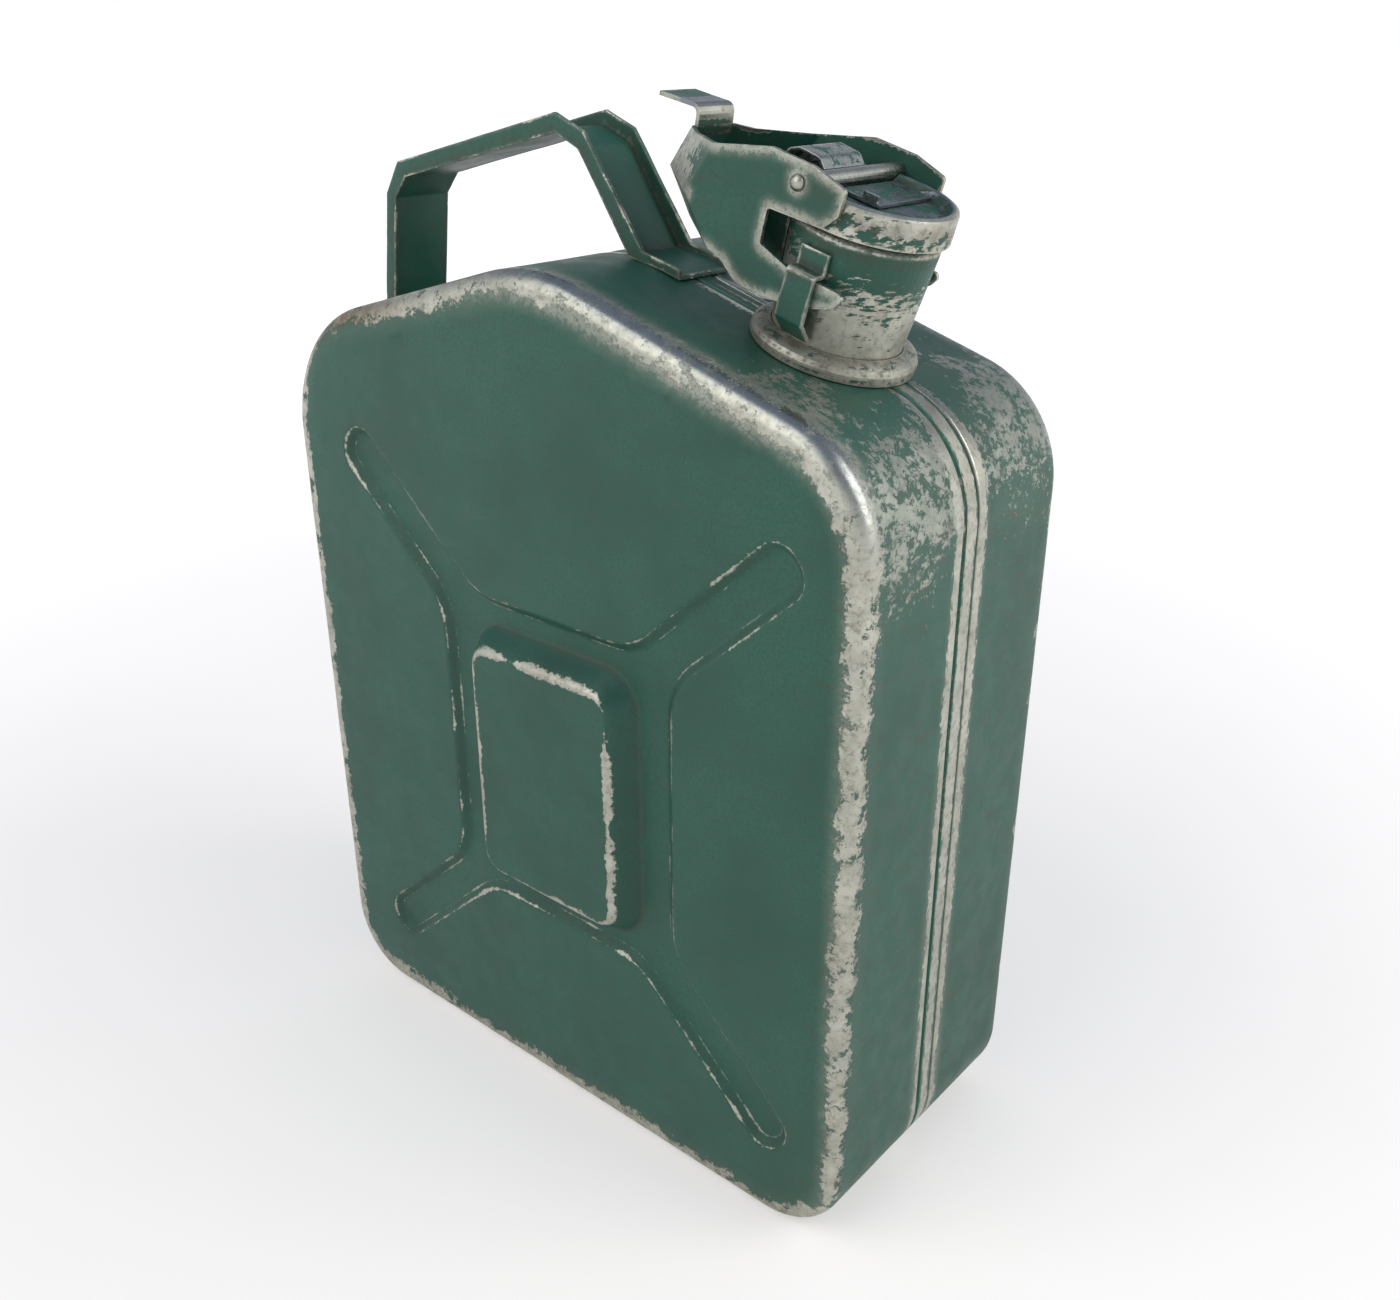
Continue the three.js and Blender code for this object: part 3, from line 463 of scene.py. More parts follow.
# ---------------------------------------------------------------- materials
class Nodes:
    """Short names for building one material's node tree."""

    def __init__(self, name):
        self.mat = bpy.data.materials.new(name)
        self.mat.use_nodes = True
        self.tree = self.mat.node_tree
        self.tree.nodes.clear()
        self.coord = self.make("ShaderNodeTexCoord").outputs["Object"]

    def make(self, kind, **settings):
        node = self.tree.nodes.new(kind)
        for key, value in settings.items():
            setattr(node, key, value)
        return node

    def put(self, socket, value):
        if isinstance(value, bpy.types.NodeSocket):
            self.tree.links.new(value, socket)
        else:
            socket.default_value = value

    def math(self, op, a, b=0.0, clamp=False):
        node = self.make("ShaderNodeMath", operation=op, use_clamp=clamp)
        for socket, value in zip(node.inputs, (a, b)):
            self.put(socket, value)
        return node.outputs[0]

    def chain(self, op, terms):
        total = terms[0]
        for t in terms[1:]:
            total = self.math(op, total, t)
        return total

    def add(self, *terms):
        return self.chain("ADD", terms)

    def mul(self, *terms):
        return self.chain("MULTIPLY", terms)

    def most(self, *terms):
        return self.chain("MAXIMUM", terms)

    def sub(self, a, b):
        return self.math("SUBTRACT", a, b)

    def abs(self, a):
        return self.math("ABSOLUTE", a)

    def ramp(self, value, low, high, to_low=0.0, to_high=1.0, smooth=True):
        """to_low where value is at low or before it, to_high where it is at high or past it."""
        kind = "SMOOTHSTEP" if smooth else "LINEAR"
        node = self.make("ShaderNodeMapRange", interpolation_type=kind)
        for socket, v in zip(node.inputs, (value, low, high, to_low, to_high)):
            self.put(socket, v)
        return node.outputs[0]

    def attr(self, name):
        return self.make("ShaderNodeAttribute", attribute_name=name).outputs["Fac"]

    def noise(self, size, detail=4.0, rough=0.55, stretch=(1, 1, 1), shift=0.0, lean=0.0):
        """Noise from 0 to 1, with features about `size` mm across."""
        m = self.make("ShaderNodeMapping")
        self.put(m.inputs["Vector"], self.coord)
        m.inputs["Location"].default_value = (shift, shift * 0.7, shift * 1.3)
        m.inputs["Rotation"].default_value = (0, -lean, 0)
        m.inputs["Scale"].default_value = tuple(1 / (MM * size * s) for s in stretch)
        t = self.make("ShaderNodeTexNoise", noise_dimensions="3D")
        self.put(t.inputs["Vector"], m.outputs[0])
        t.inputs["Scale"].default_value = 1.0
        t.inputs["Detail"].default_value = detail
        t.inputs["Roughness"].default_value = rough
        return t.outputs["Fac"]

    def axis(self, which):
        """The frame's X (0), Y (1) or Z (2), in mm."""
        s = self.make("ShaderNodeSeparateXYZ")
        self.put(s.inputs[0], self.coord)
        return self.mul(s.outputs[which], 1 / MM)

    def blob(self, centre, size, power=1.0):
        """`power` at a point in the frame (mm), falling to 0 at `size` (mm along X, Y, Z)."""
        m = self.make("ShaderNodeMapping")
        self.put(m.inputs["Vector"], self.coord)
        m.inputs["Scale"].default_value = tuple(1 / (MM * s) for s in size)
        m.inputs["Location"].default_value = tuple(-c / s for c, s in zip(centre, size))
        d = self.make("ShaderNodeVectorMath", operation="LENGTH")
        self.put(d.inputs[0], m.outputs[0])
        return self.ramp(d.outputs["Value"], 1.0, 0.0, 0.0, power)

    def dot(self, vector, direction):
        node = self.make("ShaderNodeVectorMath", operation="DOT_PRODUCT")
        self.put(node.inputs[0], vector)
        node.inputs[1].default_value = tuple(direction)
        return node.outputs["Value"]

    def mix(self, fac, a, b):
        node = self.make("ShaderNodeMix", data_type="RGBA", blend_type="MIX")
        self.put(node.inputs[0], fac)
        self.put(node.inputs[6], a if isinstance(a, bpy.types.NodeSocket) else (*a, 1))
        self.put(node.inputs[7], b if isinstance(b, bpy.types.NodeSocket) else (*b, 1))
        return node.outputs[2]

    def blend(self, fac, a, b):
        node = self.make("ShaderNodeMix", data_type="FLOAT")
        self.put(node.inputs[0], fac)
        self.put(node.inputs[2], a)
        self.put(node.inputs[3], b)
        return node.outputs[0]

    def finish(self, color, metal, rough, height, depth, specular=0.5):
        """The shader, with `height` as a bump `depth` mm high."""
        shader = self.make("ShaderNodeBsdfPrincipled")
        self.put(shader.inputs["Base Color"], color)
        self.put(shader.inputs["Metallic"], metal)
        self.put(shader.inputs["Roughness"], rough)
        shader.inputs["Specular IOR Level"].default_value = specular
        bump = self.make("ShaderNodeBump")
        bump.inputs["Strength"].default_value = 1.0
        bump.inputs["Distance"].default_value = depth * MM
        self.put(bump.inputs["Height"], height)
        self.put(shader.inputs["Normal"], bump.outputs[0])
        out = self.make("ShaderNodeOutputMaterial")
        self.put(out.inputs[0], shader.outputs[0])
        return self.mat


PAINT = (0.012, 0.080, 0.053)
PAINT_DEEP = (0.008, 0.058, 0.038)
PAINT_DUSTY = (0.042, 0.105, 0.080)
STEEL = (0.355, 0.36, 0.305)
STEEL_PALE = (0.49, 0.49, 0.425)
STEEL_DARK = (0.13, 0.125, 0.10)
# painted reflection: a dark bluish tint that stands in for the sky seen in bare steel
STEEL_SKY_REFLECTION = (0.20, 0.225, 0.25)
STEEL_RUSTY = (0.25, 0.205, 0.14)
# painted fill light: a lighter green for the shaded grooves beside the seam strip
GROOVE_FILL_LIGHT_GREEN = (0.075, 0.20, 0.145)
# grime colour, also used for painted shade in nooks and creases
GRIME_AND_SHADE = (0.050, 0.038, 0.025)
RUBBER_BLACK = (0.012, 0.012, 0.012)
RUBBER_DUSTY = (0.035, 0.033, 0.03)
# worn patches on the body: middle and reach (mm), strength
PATCHES = [
    ((130, -30, 280), (50, 90, 66), 1.0),
    ((100, -44, 306), (60, 50, 36), 0.95),
    ((122, 40, 288), (74, 80, 70), 1.0),
    ((60, -56, 322), (80, 16, 34), 0.72),
    ((-60, -56, 322), (70, 12, 24), 0.5),
    ((-128, 20, 284), (24, 60, 40), 0.7),
    ((50, 46, 330), (90, 26, 30), 0.62),
    ((138, -30, 14), (14, 34, 30), 0.55),
    ((-138, 0, 14), (20, 70, 30), 0.55),
]
BROWN_CORNER = ((-108, -56, 312), (70, 40, 26))
NECK_ROOT = ((82, 0, 318), (44, 40, 22), 0.55)
HANDLE_WEAR = [
    ((-20, 0, 386), (28, 30, 12), 1.0),
    ((26, 0, 335), (14, 30, 8), 0.7),
    ((-120, 0, 362), (16, 30, 12), 0.6),
]


def paint_and_steel(
    g, bare, grime_and_shade, halo=0.0, shiny=0.0, mottle=0.0, sky_reflection=0.0, groove_fill_light=0.0, rust=0.0
):
    """The one finish everything painted shares. The masks run from 0 to 1."""
    broad = g.noise(46, 3, 0.55, shift=2.1)
    cloud = g.noise(9, 5, 0.6, shift=7.7)
    grain = g.noise(1.2, 4, 0.7, shift=1.3)
    speck = g.noise(2.6, 8, 0.78, shift=16.0)
    streak = g.noise(3.0, 6, 0.7, stretch=(3.5, 3.5, 1), shift=4.4)

    green = g.mix(g.ramp(broad, 0.35, 0.7), PAINT, PAINT_DEEP)
    green = g.mix(g.mul(g.ramp(cloud, 0.48, 0.75), 0.22), green, PAINT_DUSTY)
    grimy = g.add(0.22, g.mul(mottle, 0.4))
    green = g.mix(g.mul(g.ramp(streak, 0.5, 0.68), grimy), green, GRIME_AND_SHADE)
    green = g.mix(g.mul(g.ramp(grain, 0.42, 0.62), 0.7), green, PAINT_DEEP)
    # painted fill light: a lighter green where the groove mask is set
    green = g.mix(groove_fill_light, green, GROOVE_FILL_LIGHT_GREEN)

    steel = g.mix(g.ramp(cloud, 0.3, 0.7), STEEL, STEEL_PALE)
    steel = g.mix(g.mul(g.ramp(speck, 0.50, 0.62), 0.45), steel, STEEL_DARK)
    steel = g.mix(g.mul(g.ramp(grain, 0.55, 0.72), 0.35), steel, STEEL_DARK)
    steel = g.mix(g.mul(g.ramp(broad, 0.5, 0.7), 0.25), steel, STEEL_RUSTY)
    steel = g.mix(rust, steel, STEEL_RUSTY)
    # painted reflection: the steel is tinted bluish where the reflection mask is set
    steel = g.mix(sky_reflection, steel, STEEL_SKY_REFLECTION)

    stipple = g.ramp(g.add(halo, g.mul(g.sub(speck, 0.5), 3.2)), 0.35, 0.65)
    veil = g.mul(halo, g.add(0.35, g.mul(stipple, 0.65)))
    color = g.mix(bare, g.mix(veil, green, steel), steel)
    # grime, and painted shade in nooks and creases, darken the colour
    color = g.mix(g.mul(grime_and_shade, g.ramp(speck, 0.3, 0.6, 0.55, 1.0)), color, GRIME_AND_SHADE)
    worn = g.most(bare, veil)
    metal = g.mul(worn, g.ramp(grime_and_shade, 0.2, 0.9, 1.0, 0.2))
    dull = g.ramp(speck, 0.35, 0.65, 0.38, 0.55)
    polished = g.ramp(speck, 0.35, 0.65, 0.22, 0.36)
    paint_rough = g.ramp(cloud, 0.3, 0.75, 0.42, 0.55)
    rough = g.blend(worn, paint_rough, g.blend(shiny, dull, polished))
    rough = g.math("ADD", rough, g.mul(grime_and_shade, 0.25), clamp=True)
    height = g.add(g.mul(bare, -1.0), g.mul(grain, 0.2), g.mul(speck, 0.5))
    return g.finish(color, metal, rough, height, depth=0.09, specular=0.4)


def chips(
    g, reach, jag, soft, seed,
    stretch=(1, 1, 1), lean=0.0, drift=1.0, size=1.7, detail=5, rough=0.66,
):
    """Turns `reach` (mm past the paint's edge; above 0 is bare) into a speckled, ragged mask."""
    wander = g.noise(13, 4, 0.6, shift=seed + 3.0)
    speck = g.noise(size, detail, rough, shift=seed + 9.0, stretch=stretch, lean=lean)
    slow = g.mul(g.sub(wander, 0.5), 14.0 * drift * jag)
    quick = g.mul(g.sub(speck, 0.5), 20.0 * jag)
    return g.ramp(g.add(reach, g.add(slow, quick)), -soft, soft)


def wire(g, distance, width, seed, share, jag=0.09):
    """A thin broken line of bare metal where `distance` (mm) is near 0."""
    gaps = g.noise(24, 4, 0.6, shift=seed)
    wide = g.ramp(gaps, share - 0.14, share + 0.12, -width, width, smooth=False)
    return chips(g, g.sub(wide, g.abs(distance)), jag, 0.3, seed + 3)


def front_band(g, x, z, top, right, left, low):
    """Half the width of the bare band along the front rim, in mm."""
    width = g.add(
        -1.0,
        g.mul(top, g.ramp(x, -130, -60, 2.6, 6.6)),
        g.mul(right, g.ramp(z, 12, 150, 4.0, 6.8)),
        g.mul(left, 7.6),
    )
    widest = g.most(g.ramp(x, 100, 130, 5.8, 6.8), g.mul(left, 6.8))
    foot = g.mul(low, g.ramp(x, -118, -70, 10.5, 6.6))
    return g.most(g.math("MINIMUM", width, widest), foot)


def rear_band(g, top, right, left, low):
    """The same for the rear rim, which is worn less."""
    terms = g.mul(top, 4.4), g.mul(right, 4.0), g.mul(left, 2.6), g.mul(low, 3.4)
    return g.math("MINIMUM", g.add(-1.2, *terms), 4.2)


def body_material(name, front):
    """Worn to steel on the rim, by the seam, along the pressed lines and round the shoulder."""
    g = Nodes(name)
    x, z = g.axis(0), g.axis(2)
    arc, seam = g.attr("rim"), g.attr("seam")
    cross, panel = g.attr("cross"), g.attr("panel")
    top = g.ramp(z, 255, 300)
    right = g.ramp(x, 118, 136)
    left = g.ramp(x, -118, -136)
    low = g.ramp(z, 30, 8)
    seed, left_shift = (0, 2.4) if front else (21, 0.0)

    rim = g.abs(g.sub(arc, g.mul(left, left_shift)))
    if front:
        width = front_band(g, x, z, top, right, left, low)
    else:
        width = rear_band(g, top, right, left, low)
    uneven = g.ramp(g.noise(60, 2, 0.5, shift=seed + 81), 0.35, 0.65, 0.72, 1.16)
    reach = g.sub(g.mul(width, uneven), rim)
    band = chips(g, reach, 1.1, 0.3, seed, drift=0.9, size=5.0, detail=10, rough=0.82)
    islands = g.ramp(g.noise(6, 7, 0.72, shift=seed + 51), 0.575, 0.60)
    band = g.mul(band, g.sub(1.0, islands))

    by_right = g.mul(right, g.ramp(z, 30, 250, 2.4, 4.2))
    seam_width = g.add(0.4, by_right, g.mul(top, 1.8), g.mul(left, 1.6))
    outside = g.ramp(seam, -0.3, 0.4)
    by_seam = chips(g, g.sub(seam_width, seam), 0.42, 0.4, 31, stretch=(1, 0.7, 1.8))
    by_seam = g.mul(by_seam, outside)

    patches = g.most(*(g.blob(*patch) for patch in PATCHES))
    speckle = chips(
        g, g.ramp(patches, 0.0, 1.0, -6.0, 1.5, smooth=False), 1.0, 0.5, 47,
        stretch=(1.9, 1.3, 1), lean=0.6, drift=0.8, size=2.4, detail=9, rough=0.78,
    )
    speckle = g.mul(speckle, g.mul(g.ramp(seam, 0.2, 1.0), g.ramp(arc, 2.0, -3.0)))

    upper_line = wire(g, g.sub(cross, 0.4), 0.6, 60, 0.5, 0.12)
    lower_line = wire(g, g.add(cross, 2.9), 0.45, 68, 0.57)
    lines = g.most(upper_line, g.mul(lower_line, 0.8))
    pad = wire(g, g.add(panel, 6.9), 1.6, 71, 0.38, 0.2)
    stray = g.ramp(g.noise(1.5, 2, 0.5, shift=90), 0.79, 0.81)
    bare = g.most(band, by_seam, g.mul(speckle, 0.68), lines, pad, stray)

    spread = g.mul(g.sub(g.noise(11, 4, 0.6, shift=15), 0.5), 6.0)
    spread = g.add(g.sub(rim, width), spread)
    right_veil = g.mul(right, g.ramp(arc, -5.0, 1.0, 0.2, 0.6))
    rim_veil = g.mul(g.ramp(spread, 8.5, -1.0), g.most(top, right_veil, 0.2))
    rim_veil = g.mul(rim_veil, g.ramp(x, -60, 20, 0.35, 1.0))
    seam_veil = g.mul(g.ramp(seam, 8, 2), g.mul(right, 0.5))
    patch_veil = g.mul(g.ramp(patches, 0.25, 0.9), g.ramp(arc, 2.0, -3.0, 0.0, 0.12))
    halo = g.most(g.mul(rim_veil, 0.7), g.mul(seam_veil, outside), patch_veil)

    # grime and painted shade along the cross's crease, round the panel's foot and at the neck's root;
    # darker towards the bottom
    crease_dark = g.ramp(g.abs(g.add(cross, 1.2)), 2.6, 0.0, 0.0, 0.22)
    foot = g.ramp(g.abs(g.sub(panel, 0.6)), 2.4, 0.0, 0.0, 0.45)
    corner = g.mul(g.blob(*BROWN_CORNER), g.ramp(arc, 7.0, 3.0))
    bottom = g.mul(g.ramp(z, 16, 2), 0.35)
    grime_and_shade = g.most(crease_dark, foot, g.mul(corner, 0.5), g.blob(*NECK_ROOT), bottom)
    grime_and_shade = g.mul(grime_and_shade, g.ramp(g.noise(5, 5, 0.65, shift=33), 0.3, 0.65))

    # painted sheen: along the top bevel the steel is glossier, and its wall side takes a painted
    # bluish reflection
    sheen = g.mul(g.mul(top, g.ramp(x, -40, 10)), g.ramp(arc, 3.0, -2.0))
    sky_reflection = g.mul(sheen, g.ramp(arc, -9.0, -5.0, 0.1, 0.45))
    return paint_and_steel(
        g, bare, grime_and_shade, halo, shiny=g.most(sheen, 0.15), mottle=right, sky_reflection=sky_reflection,
        rust=g.mul(corner, 0.9),
    )


def seam_material():
    """The strip between the grooves: bare on its crown at the spout side; the grooves get a lighter
    green, painted fill light that lifts their shade.
    """
    g = Nodes("seam_paint")
    x, z = g.axis(0), g.axis(2)
    across = g.abs(g.axis(1))
    right = g.ramp(x, 92, 128)
    left = g.ramp(x, -110, -136)
    lower = g.mul(g.ramp(z, 200, 60), -0.5)
    width = g.add(0.2, g.mul(right, 2.6), g.mul(left, 1.4), lower)
    in_groove = g.ramp(across, 3.2, 3.9)
    bare = chips(g, g.sub(width, across), 0.22, 0.35, 4, stretch=(1, 0.7, 1.8))
    bare = g.mul(bare, g.sub(1.0, in_groove))
    halo = g.mul(g.ramp(across, 3.6, 1.0), g.mul(right, 0.6))
    # painted fill light: the groove walls take a lighter green to lift their shade
    groove_fill_light = g.ramp(across, 2.9, 3.15)
    # a little grime and painted shade on the groove floor
    return paint_and_steel(g, bare, g.mul(in_groove, 0.1), halo, shiny=0.5, groove_fill_light=groove_fill_light)


def part_material(
    name, chip, halo_width, halo_power, seed, jag=0.12, shiny=0.0,
    bare_where=None, dirt_where=None, halo_where=None, sky_reflection_where=None,
):
    """Painted small pieces: paint gone at the edges with a soft halo, and darker in the inner corners
    with grime and painted shade.
    """
    g = Nodes(name)
    edge, nook = g.attr("edge"), g.attr("nook")
    wander = g.noise(14, 4, 0.6, shift=seed + 12)
    reach = g.sub(g.ramp(wander, 0.3, 0.7, chip - 0.7, chip + 0.7), edge)
    stray = g.ramp(g.noise(1.4, 2, 0.5, shift=seed + 90), 0.78, 0.80)
    bare = g.most(chips(g, reach, jag, 0.25, seed), stray)
    if bare_where:
        bare = g.most(bare, bare_where(g))
    fade = g.add(edge, g.mul(g.sub(g.noise(7, 4, 0.6, shift=seed + 40), 0.5), 2.4))
    halo = g.mul(g.ramp(fade, halo_width, 0.2), halo_power)
    if halo_where:
        halo = g.mul(halo, halo_where(g))
    # grime and painted shade in the inner corners
    grime_and_shade = g.mul(g.ramp(nook, 3.2, 0.3), 0.7)
    if dirt_where:
        grime_and_shade = g.most(grime_and_shade, dirt_where(g))
    grime_and_shade = g.mul(grime_and_shade, g.ramp(g.noise(4, 5, 0.65, shift=seed + 33), 0.3, 0.62))
    # painted reflection: a bluish tint on the steel where the caller's mask asks for it
    sky_reflection = sky_reflection_where(g) if sky_reflection_where else 0.0
    return paint_and_steel(g, bare, grime_and_shade, halo, shiny=shiny, mottle=0.3, sky_reflection=sky_reflection)


def steel_material(name, green, shiny, seed, grime_and_shade_power=0.6, stain=0.0, sky_reflection=0.0):
    """Bare worn steel. Where green is above 0, old paint is left in patches."""
    g = Nodes(name)
    edge, nook = g.attr("edge"), g.attr("nook")
    if green:
        bare = g.ramp(g.noise(6, 7, 0.72, shift=seed + 8), green - 0.02, green + 0.02)
        bare = g.most(bare, g.ramp(edge, 1.2, 0.4))
    else:
        bare = 1.0
    blotch = g.ramp(g.noise(6, 5, 0.7, shift=seed + 3), 0.5, 0.75)
    # grime and painted shade in the inner corners, and grime in blotches
    grime_and_shade = g.mul(g.ramp(nook, 3.0, 0.2), grime_and_shade_power)
    grime_and_shade = g.most(grime_and_shade, g.mul(blotch, grime_and_shade_power * 0.7))
    if stain:
        stains = g.noise(3, 6, 0.7, shift=seed + 5)
        grime_and_shade = g.most(grime_and_shade, g.ramp(stains, 0.35, 0.65, stain * 0.5, stain))
    # painted reflection: the steel takes a bluish tint as strong as asked
    return paint_and_steel(g, bare, grime_and_shade, 0.0, shiny=shiny, sky_reflection=sky_reflection)


def rubber_material():
    g = Nodes("gasket_rubber")
    mottle = g.noise(2.5, 4, 0.6)
    color = g.mix(mottle, RUBBER_BLACK, RUBBER_DUSTY)
    return g.finish(color, 0.0, g.ramp(mottle, 0.3, 0.7, 0.6, 0.85), mottle, depth=0.05)


def along(g, direction):
    """Distance along one of the neck's axes from the middle of the cap's rim, in mm."""
    return g.sub(g.dot(g.coord, direction / MM), RIM.dot(direction))


def facing(g, direction):
    """How squarely the surface faces a direction given in the frame, from -1 to 1."""
    return g.dot(g.make("ShaderNodeTexCoord").outputs["Normal"], direction)


def neck_bare(g):
    """Rubbed bare low down and towards the handle, still green under the rim."""
    low = g.ramp(along(g, V_AXIS), -38, -12, 4.4, -3.4, smooth=False)
    reach = g.add(low, g.ramp(along(g, U_AXIS), 12, -20, -1.6, 2.0))
    stretch = (2.4, 2.4, 0.7)
    return chips(g, reach, 0.9, 0.5, 14, stretch=stretch, lean=-LEAN, drift=0.7, size=2.2, detail=8)


def neck_dirt(g):
    """Grime at the neck's root, mostly on the side towards the handle."""
    return g.mul(g.ramp(along(g, V_AXIS), -36, -50), g.ramp(along(g, U_AXIS), 8, -22, 0.25, 0.9))


def cap_inside(g):
    """The sunk middle of the cap's top."""
    across, y = along(g, U_AXIS), g.axis(1)
    away = g.math("SQRT", g.add(g.mul(across, across), g.mul(y, y)))
    return g.mul(g.ramp(away, 25.0, 24.2), g.ramp(along(g, V_AXIS), -8, -5))


def cap_bare(g):
    """Bare along the top of the rim, speckled on the skirt, mostly green in the sunk middle."""
    across, up = along(g, U_AXIS), along(g, V_AXIS)
    inside = cap_inside(g)
    outside = g.sub(1.0, inside)
    skirt = g.add(g.ramp(across, -16, 14, -4.0, 0.6, smooth=False), g.ramp(up, -7, -2, -1.0, 1.4))
    top = g.mul(g.ramp(up, -1.2, -0.4, 0.0, 5.0), outside)
    reach = g.add(g.mul(skirt, outside), g.mul(inside, -0.6), top)
    return chips(g, reach, 0.8, 0.4, 18, stretch=(2.0, 2.0, 0.8), size=3.0, detail=8)


def lever_bend(g):
    """The rounded bend between the thumb tab and the back of the lever."""
    across = along(g, U_AXIS)
    up = g.ramp(along(g, V_AXIS), -8.0, -4.0)
    return g.mul(g.ramp(across, -79, -75.5), g.ramp(across, -68, -71), up)


def lever_outside(g):
    """1 on the outer faces of the cheeks and of the bent back, 0 on their inner faces."""
    side = g.mul(facing(g, (0, 1, 0)), g.math("SIGN", g.axis(1)))
    return g.most(g.ramp(side, 0.0, 0.4), g.ramp(facing(g, -U_AXIS), 0.3, 0.6))


def lever_bare(g):
    """Heavy streaks on the bent back of the lever and on top of its thumb tab."""
    across, up = along(g, U_AXIS), along(g, V_AXIS)
    outer = g.ramp(lever_outside(g), 0.2, 0.6, -3.4, 0.4)
    back = g.add(
        g.ramp(across, -42, -58, -5.0, 0.8, smooth=False),
        g.mul(outer, g.ramp(across, -36, -46)),
    )
    tab = g.mul(g.ramp(across, -78, -72), g.ramp(across, -63, -65.5))
    tab = g.mul(g.ramp(up, -2.5, -0.5, 0.0, 6.0), tab)
    tab = g.add(tab, g.mul(lever_bend(g), 5.0))
    tip = g.mul(g.ramp(across, -75, -80), 4.0)
    reach = g.sub(g.add(back, tab), tip)
    return chips(g, reach, 0.6, 0.4, 27, stretch=(0.8, 0.8, 2.6), lean=0.5)


def handle_bare(g):
    """Specks on the knuckle towards the spout and at the handle's two ends."""
    worn = g.most(*(g.blob(*patch) for patch in HANDLE_WEAR))
    return chips(g, g.ramp(worn, 0, 1, -6, 0.2, smooth=False), 0.6, 0.4, 36)


# ---------------------------------------------------------------- build
half_shell("front_pressing", "front_shell", -1, body_material("worn_green_front", True))
half_shell("rear_pressing", "rear_shell", 1, body_material("worn_green_rear", False))

# on the can
soften("seam_strip", "seam_band", "can", seam_material(), grain=4.5, bevel=0.4, sharp=35)
soften(
    "spout_neck", "neck", "can",
    part_material("neck_paint", 0.3, 1.5, 0.5, 6, bare_where=neck_bare, dirt_where=neck_dirt),
    grain=2.0, wobble=0.12,
)
soften(
    "neck_ring", "neck_collar", "can",
    steel_material("collar_steel", 0.45, 0.0, 8, grime_and_shade_power=1.0, stain=0.45),
    grain=2.0, wobble=0.25,
)
soften(
    "carry_handle", "handle", "can",
    part_material("handle_paint", 0.1, 1.2, 0.4, 10, bare_where=handle_bare),
    grain=2.4, bevel=0.35, wobble=0.15,
)
for end, paint, seed in (("front", "strap_paint", 12), ("rear", "strap_paint_rear", 13)):
    soften(
        "strap_" + end, "keeper_strap_" + end, "can",
        part_material(paint, 0.2, 1.0, 0.6, seed, jag=0.08), grain=1.2, bevel=0.22,
    )
soften(
    "hinge_lugs", "hinge_bracket", "can",
    part_material("hinge_paint", 0.2, 1.2, 0.5, 15), grain=1.5, bevel=0.2,
)
soften(
    "hinge_pin_worn", "hinge_pin", "can", steel_material("pin_steel", 0, 0.7, 17),
    grain=1.5, bevel=0.15,
)
soften(
    "breather", "breather_tube", "can", steel_material("tube_steel", 0, 0.3, 19),
    grain=3, bevel=0.15,
)

# on the cap
soften(
    "spout_cap", "cap", "cap_group",
    part_material(
        # painted reflection: the steel in the cap's sunk middle is tinted bluish
        "cap_paint", 0.3, 1.2, 0.5, 21, shiny=0.5, bare_where=cap_bare, sky_reflection_where=cap_inside
    ),
    grain=1.8, bevel=0.2,
)
soften(
    "cap_seal", "cap_gasket", "cap_group", rubber_material(),
    grain=2.5, bevel=0.2,
)
# painted reflection: the plate, leaf and barrel steel is tinted bluish, most on the plate
soften(
    "cap_plate", "cap_bracket", "cap_group",
    steel_material("plate_steel", 0.50, 0.8, 23, grime_and_shade_power=0.5, sky_reflection=0.9),
    grain=1.5, bevel=0.2,
)
soften(
    "cap_leaf", "hinge_arm", "cap_group",
    steel_material("leaf_steel", 0.47, 0.9, 25, grime_and_shade_power=0.2, sky_reflection=0.6),
    grain=1.4, bevel=0.25,
)
soften(
    "cross_barrel", "pivot_barrel", "cap_group",
    steel_material("barrel_steel", 0, 1.0, 27, grime_and_shade_power=0.0, sky_reflection=0.3),
    grain=1.6, bevel=0.2,
)

# on the lever
soften(
    "cam_lever", "lever", "lever_group",
    part_material(
        "lever_paint", 0.3, 5.0, 0.85, 29, jag=0.16, shiny=0.4,
        # painted reflection: the steel on the thumb tab's bend is tinted bluish
        bare_where=lever_bare, halo_where=lever_outside, sky_reflection_where=lever_bend,
    ),
    grain=1.8, bevel=0.28, wobble=0.1,
)
soften(
    "rivet", "pivot_rivet", "lever_group",
    steel_material("rivet_steel", 0, 0.8, 31, grime_and_shade_power=0.2),
    grain=1.5, bevel=0.15, sharp=50,
)

# ---------------------------------------------------------------- floor, light and camera, m
FLOOR_HALF = 60.0
FLOOR_TONES = (0.66, 0.63, 0.595), (0.68, 0.65, 0.615)
GLOW_FROM, GLOW_TO = 0.2, 1.6  # the floor glows more with its distance from the can
GLOW_NEAR, GLOW_FAR = 0.36, 0.80
SKY = [  # height of the direction looked in, colour
    (0.0, (1.0, 1.0, 1.0)),
    (0.24, (0.98, 0.985, 1.0)),
    (0.55, (0.24, 0.28, 0.36)),
    (0.9, (0.31, 0.37, 0.50)),
]
LIGHTS = [  # name, place, target, size, watts, colour
    ("key", (-0.5, -1.3, 1.5), (0, 0, 0.2), 1.6, 17.5, (1.0, 0.97, 0.93)),
    ("rim_light", (1.3, 0.5, 1.1), (0, 0, 0.25), 1.2, 15, (1.0, 0.98, 0.95)),
]
LENS, SENSOR = 35.0, 36.0
CAMERA_PLACE = (0.3401, -0.3698, 0.4093)
CAMERA_TILT, CAMERA_TURN = 65.75, 40.33
CLIP_NEAR, CLIP_FAR = 0.01, 50


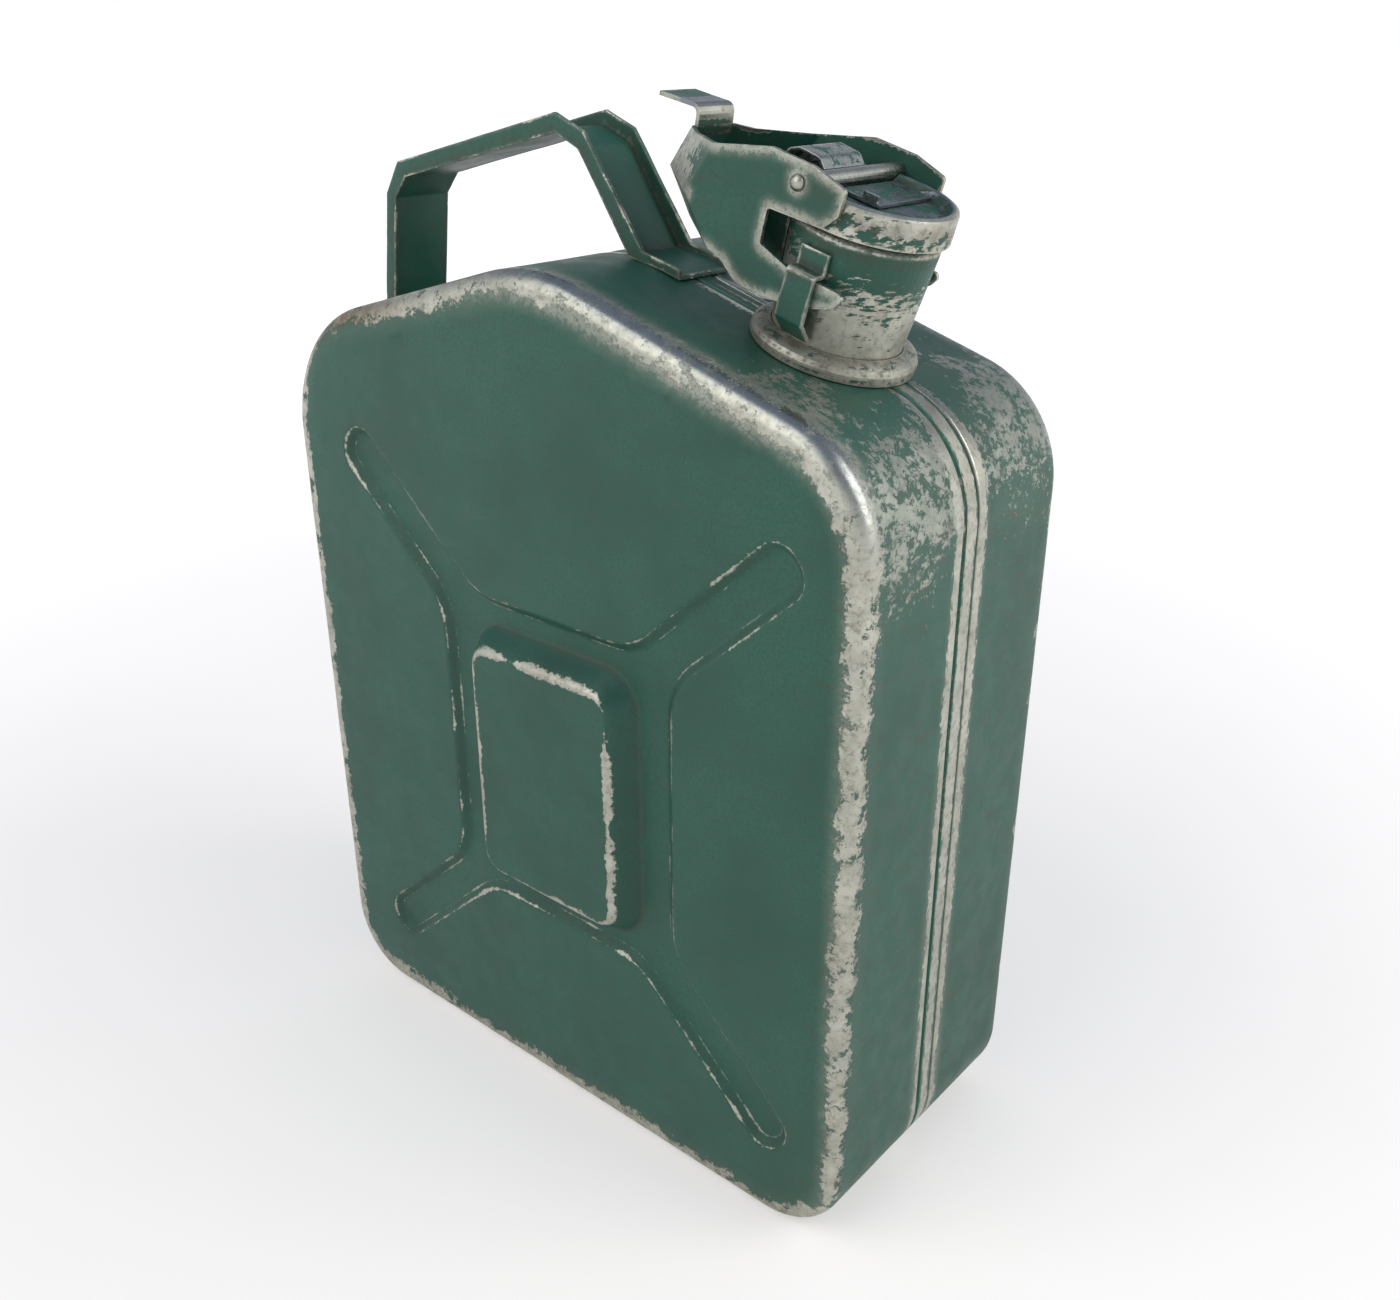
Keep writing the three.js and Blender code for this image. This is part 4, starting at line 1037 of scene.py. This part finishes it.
def floor():
    a = FLOOR_HALF
    mesh = bpy.data.meshes.new("floor")
    mesh.from_pydata([(-a, -a, 0), (a, -a, 0), (a, a, 0), (-a, a, 0)], [], [(0, 1, 2, 3)])
    obj = bpy.data.objects.new("floor", mesh)
    scene.collection.objects.link(obj)
    g = Nodes("floor_white")
    shader = g.make("ShaderNodeBsdfDiffuse")
    g.put(shader.inputs[0], g.mix(g.noise(60, 3), *FLOOR_TONES))
    away = g.make("ShaderNodeVectorMath", operation="LENGTH")
    g.put(away.inputs[0], g.coord)
    glow = g.make("ShaderNodeEmission")
    strength = g.ramp(away.outputs["Value"], GLOW_FROM, GLOW_TO, GLOW_NEAR, GLOW_FAR)
    g.put(glow.inputs["Strength"], strength)
    both = g.make("ShaderNodeAddShader")
    g.put(both.inputs[0], shader.outputs[0])
    g.put(both.inputs[1], glow.outputs[0])
    out = g.make("ShaderNodeOutputMaterial")
    g.put(out.inputs[0], both.outputs[0])
    mesh.materials.append(g.mat)


def area_light(name, place, target, size, watts, color):
    data = bpy.data.lights.new(name, "AREA")
    data.shape = "RECTANGLE"
    data.size, data.size_y = size, size
    data.energy = watts
    data.color = color
    obj = bpy.data.objects.new(name, data)
    scene.collection.objects.link(obj)
    obj.location = place
    obj.rotation_euler = (Vector(target) - Vector(place)).to_track_quat("-Z", "Y").to_euler()


def world_light():
    world = bpy.data.worlds.new("studio")
    scene.world = world
    world.use_nodes = True
    tree = world.node_tree
    tree.nodes.clear()
    coord = tree.nodes.new("ShaderNodeTexCoord")
    split = tree.nodes.new("ShaderNodeSeparateXYZ")
    ramp = tree.nodes.new("ShaderNodeValToRGB")
    back = tree.nodes.new("ShaderNodeBackground")
    out = tree.nodes.new("ShaderNodeOutputWorld")
    tree.links.new(coord.outputs["Generated"], split.inputs[0])
    tree.links.new(split.outputs[2], ramp.inputs[0])
    stops = ramp.color_ramp.elements
    for stop, (height, color) in zip(stops, (SKY[0], SKY[-1])):
        stop.position = height
        stop.color = (*color, 1)
    for height, color in SKY[1:-1]:
        stops.new(height).color = (*color, 1)
    tree.links.new(ramp.outputs[0], back.inputs[0])
    back.inputs[1].default_value = 1.0
    tree.links.new(back.outputs[0], out.inputs[0])


def add_camera():
    data = bpy.data.cameras.new("camera")
    data.lens = LENS
    data.sensor_width = SENSOR
    data.clip_start, data.clip_end = CLIP_NEAR, CLIP_FAR
    obj = bpy.data.objects.new("camera", data)
    scene.collection.objects.link(obj)
    obj.location = CAMERA_PLACE
    obj.rotation_euler = (math.radians(CAMERA_TILT), 0, math.radians(CAMERA_TURN))
    scene.camera = obj


floor()
world_light()
for light in LIGHTS:
    area_light(*light)
add_camera()
scene.view_settings.view_transform = "Standard"
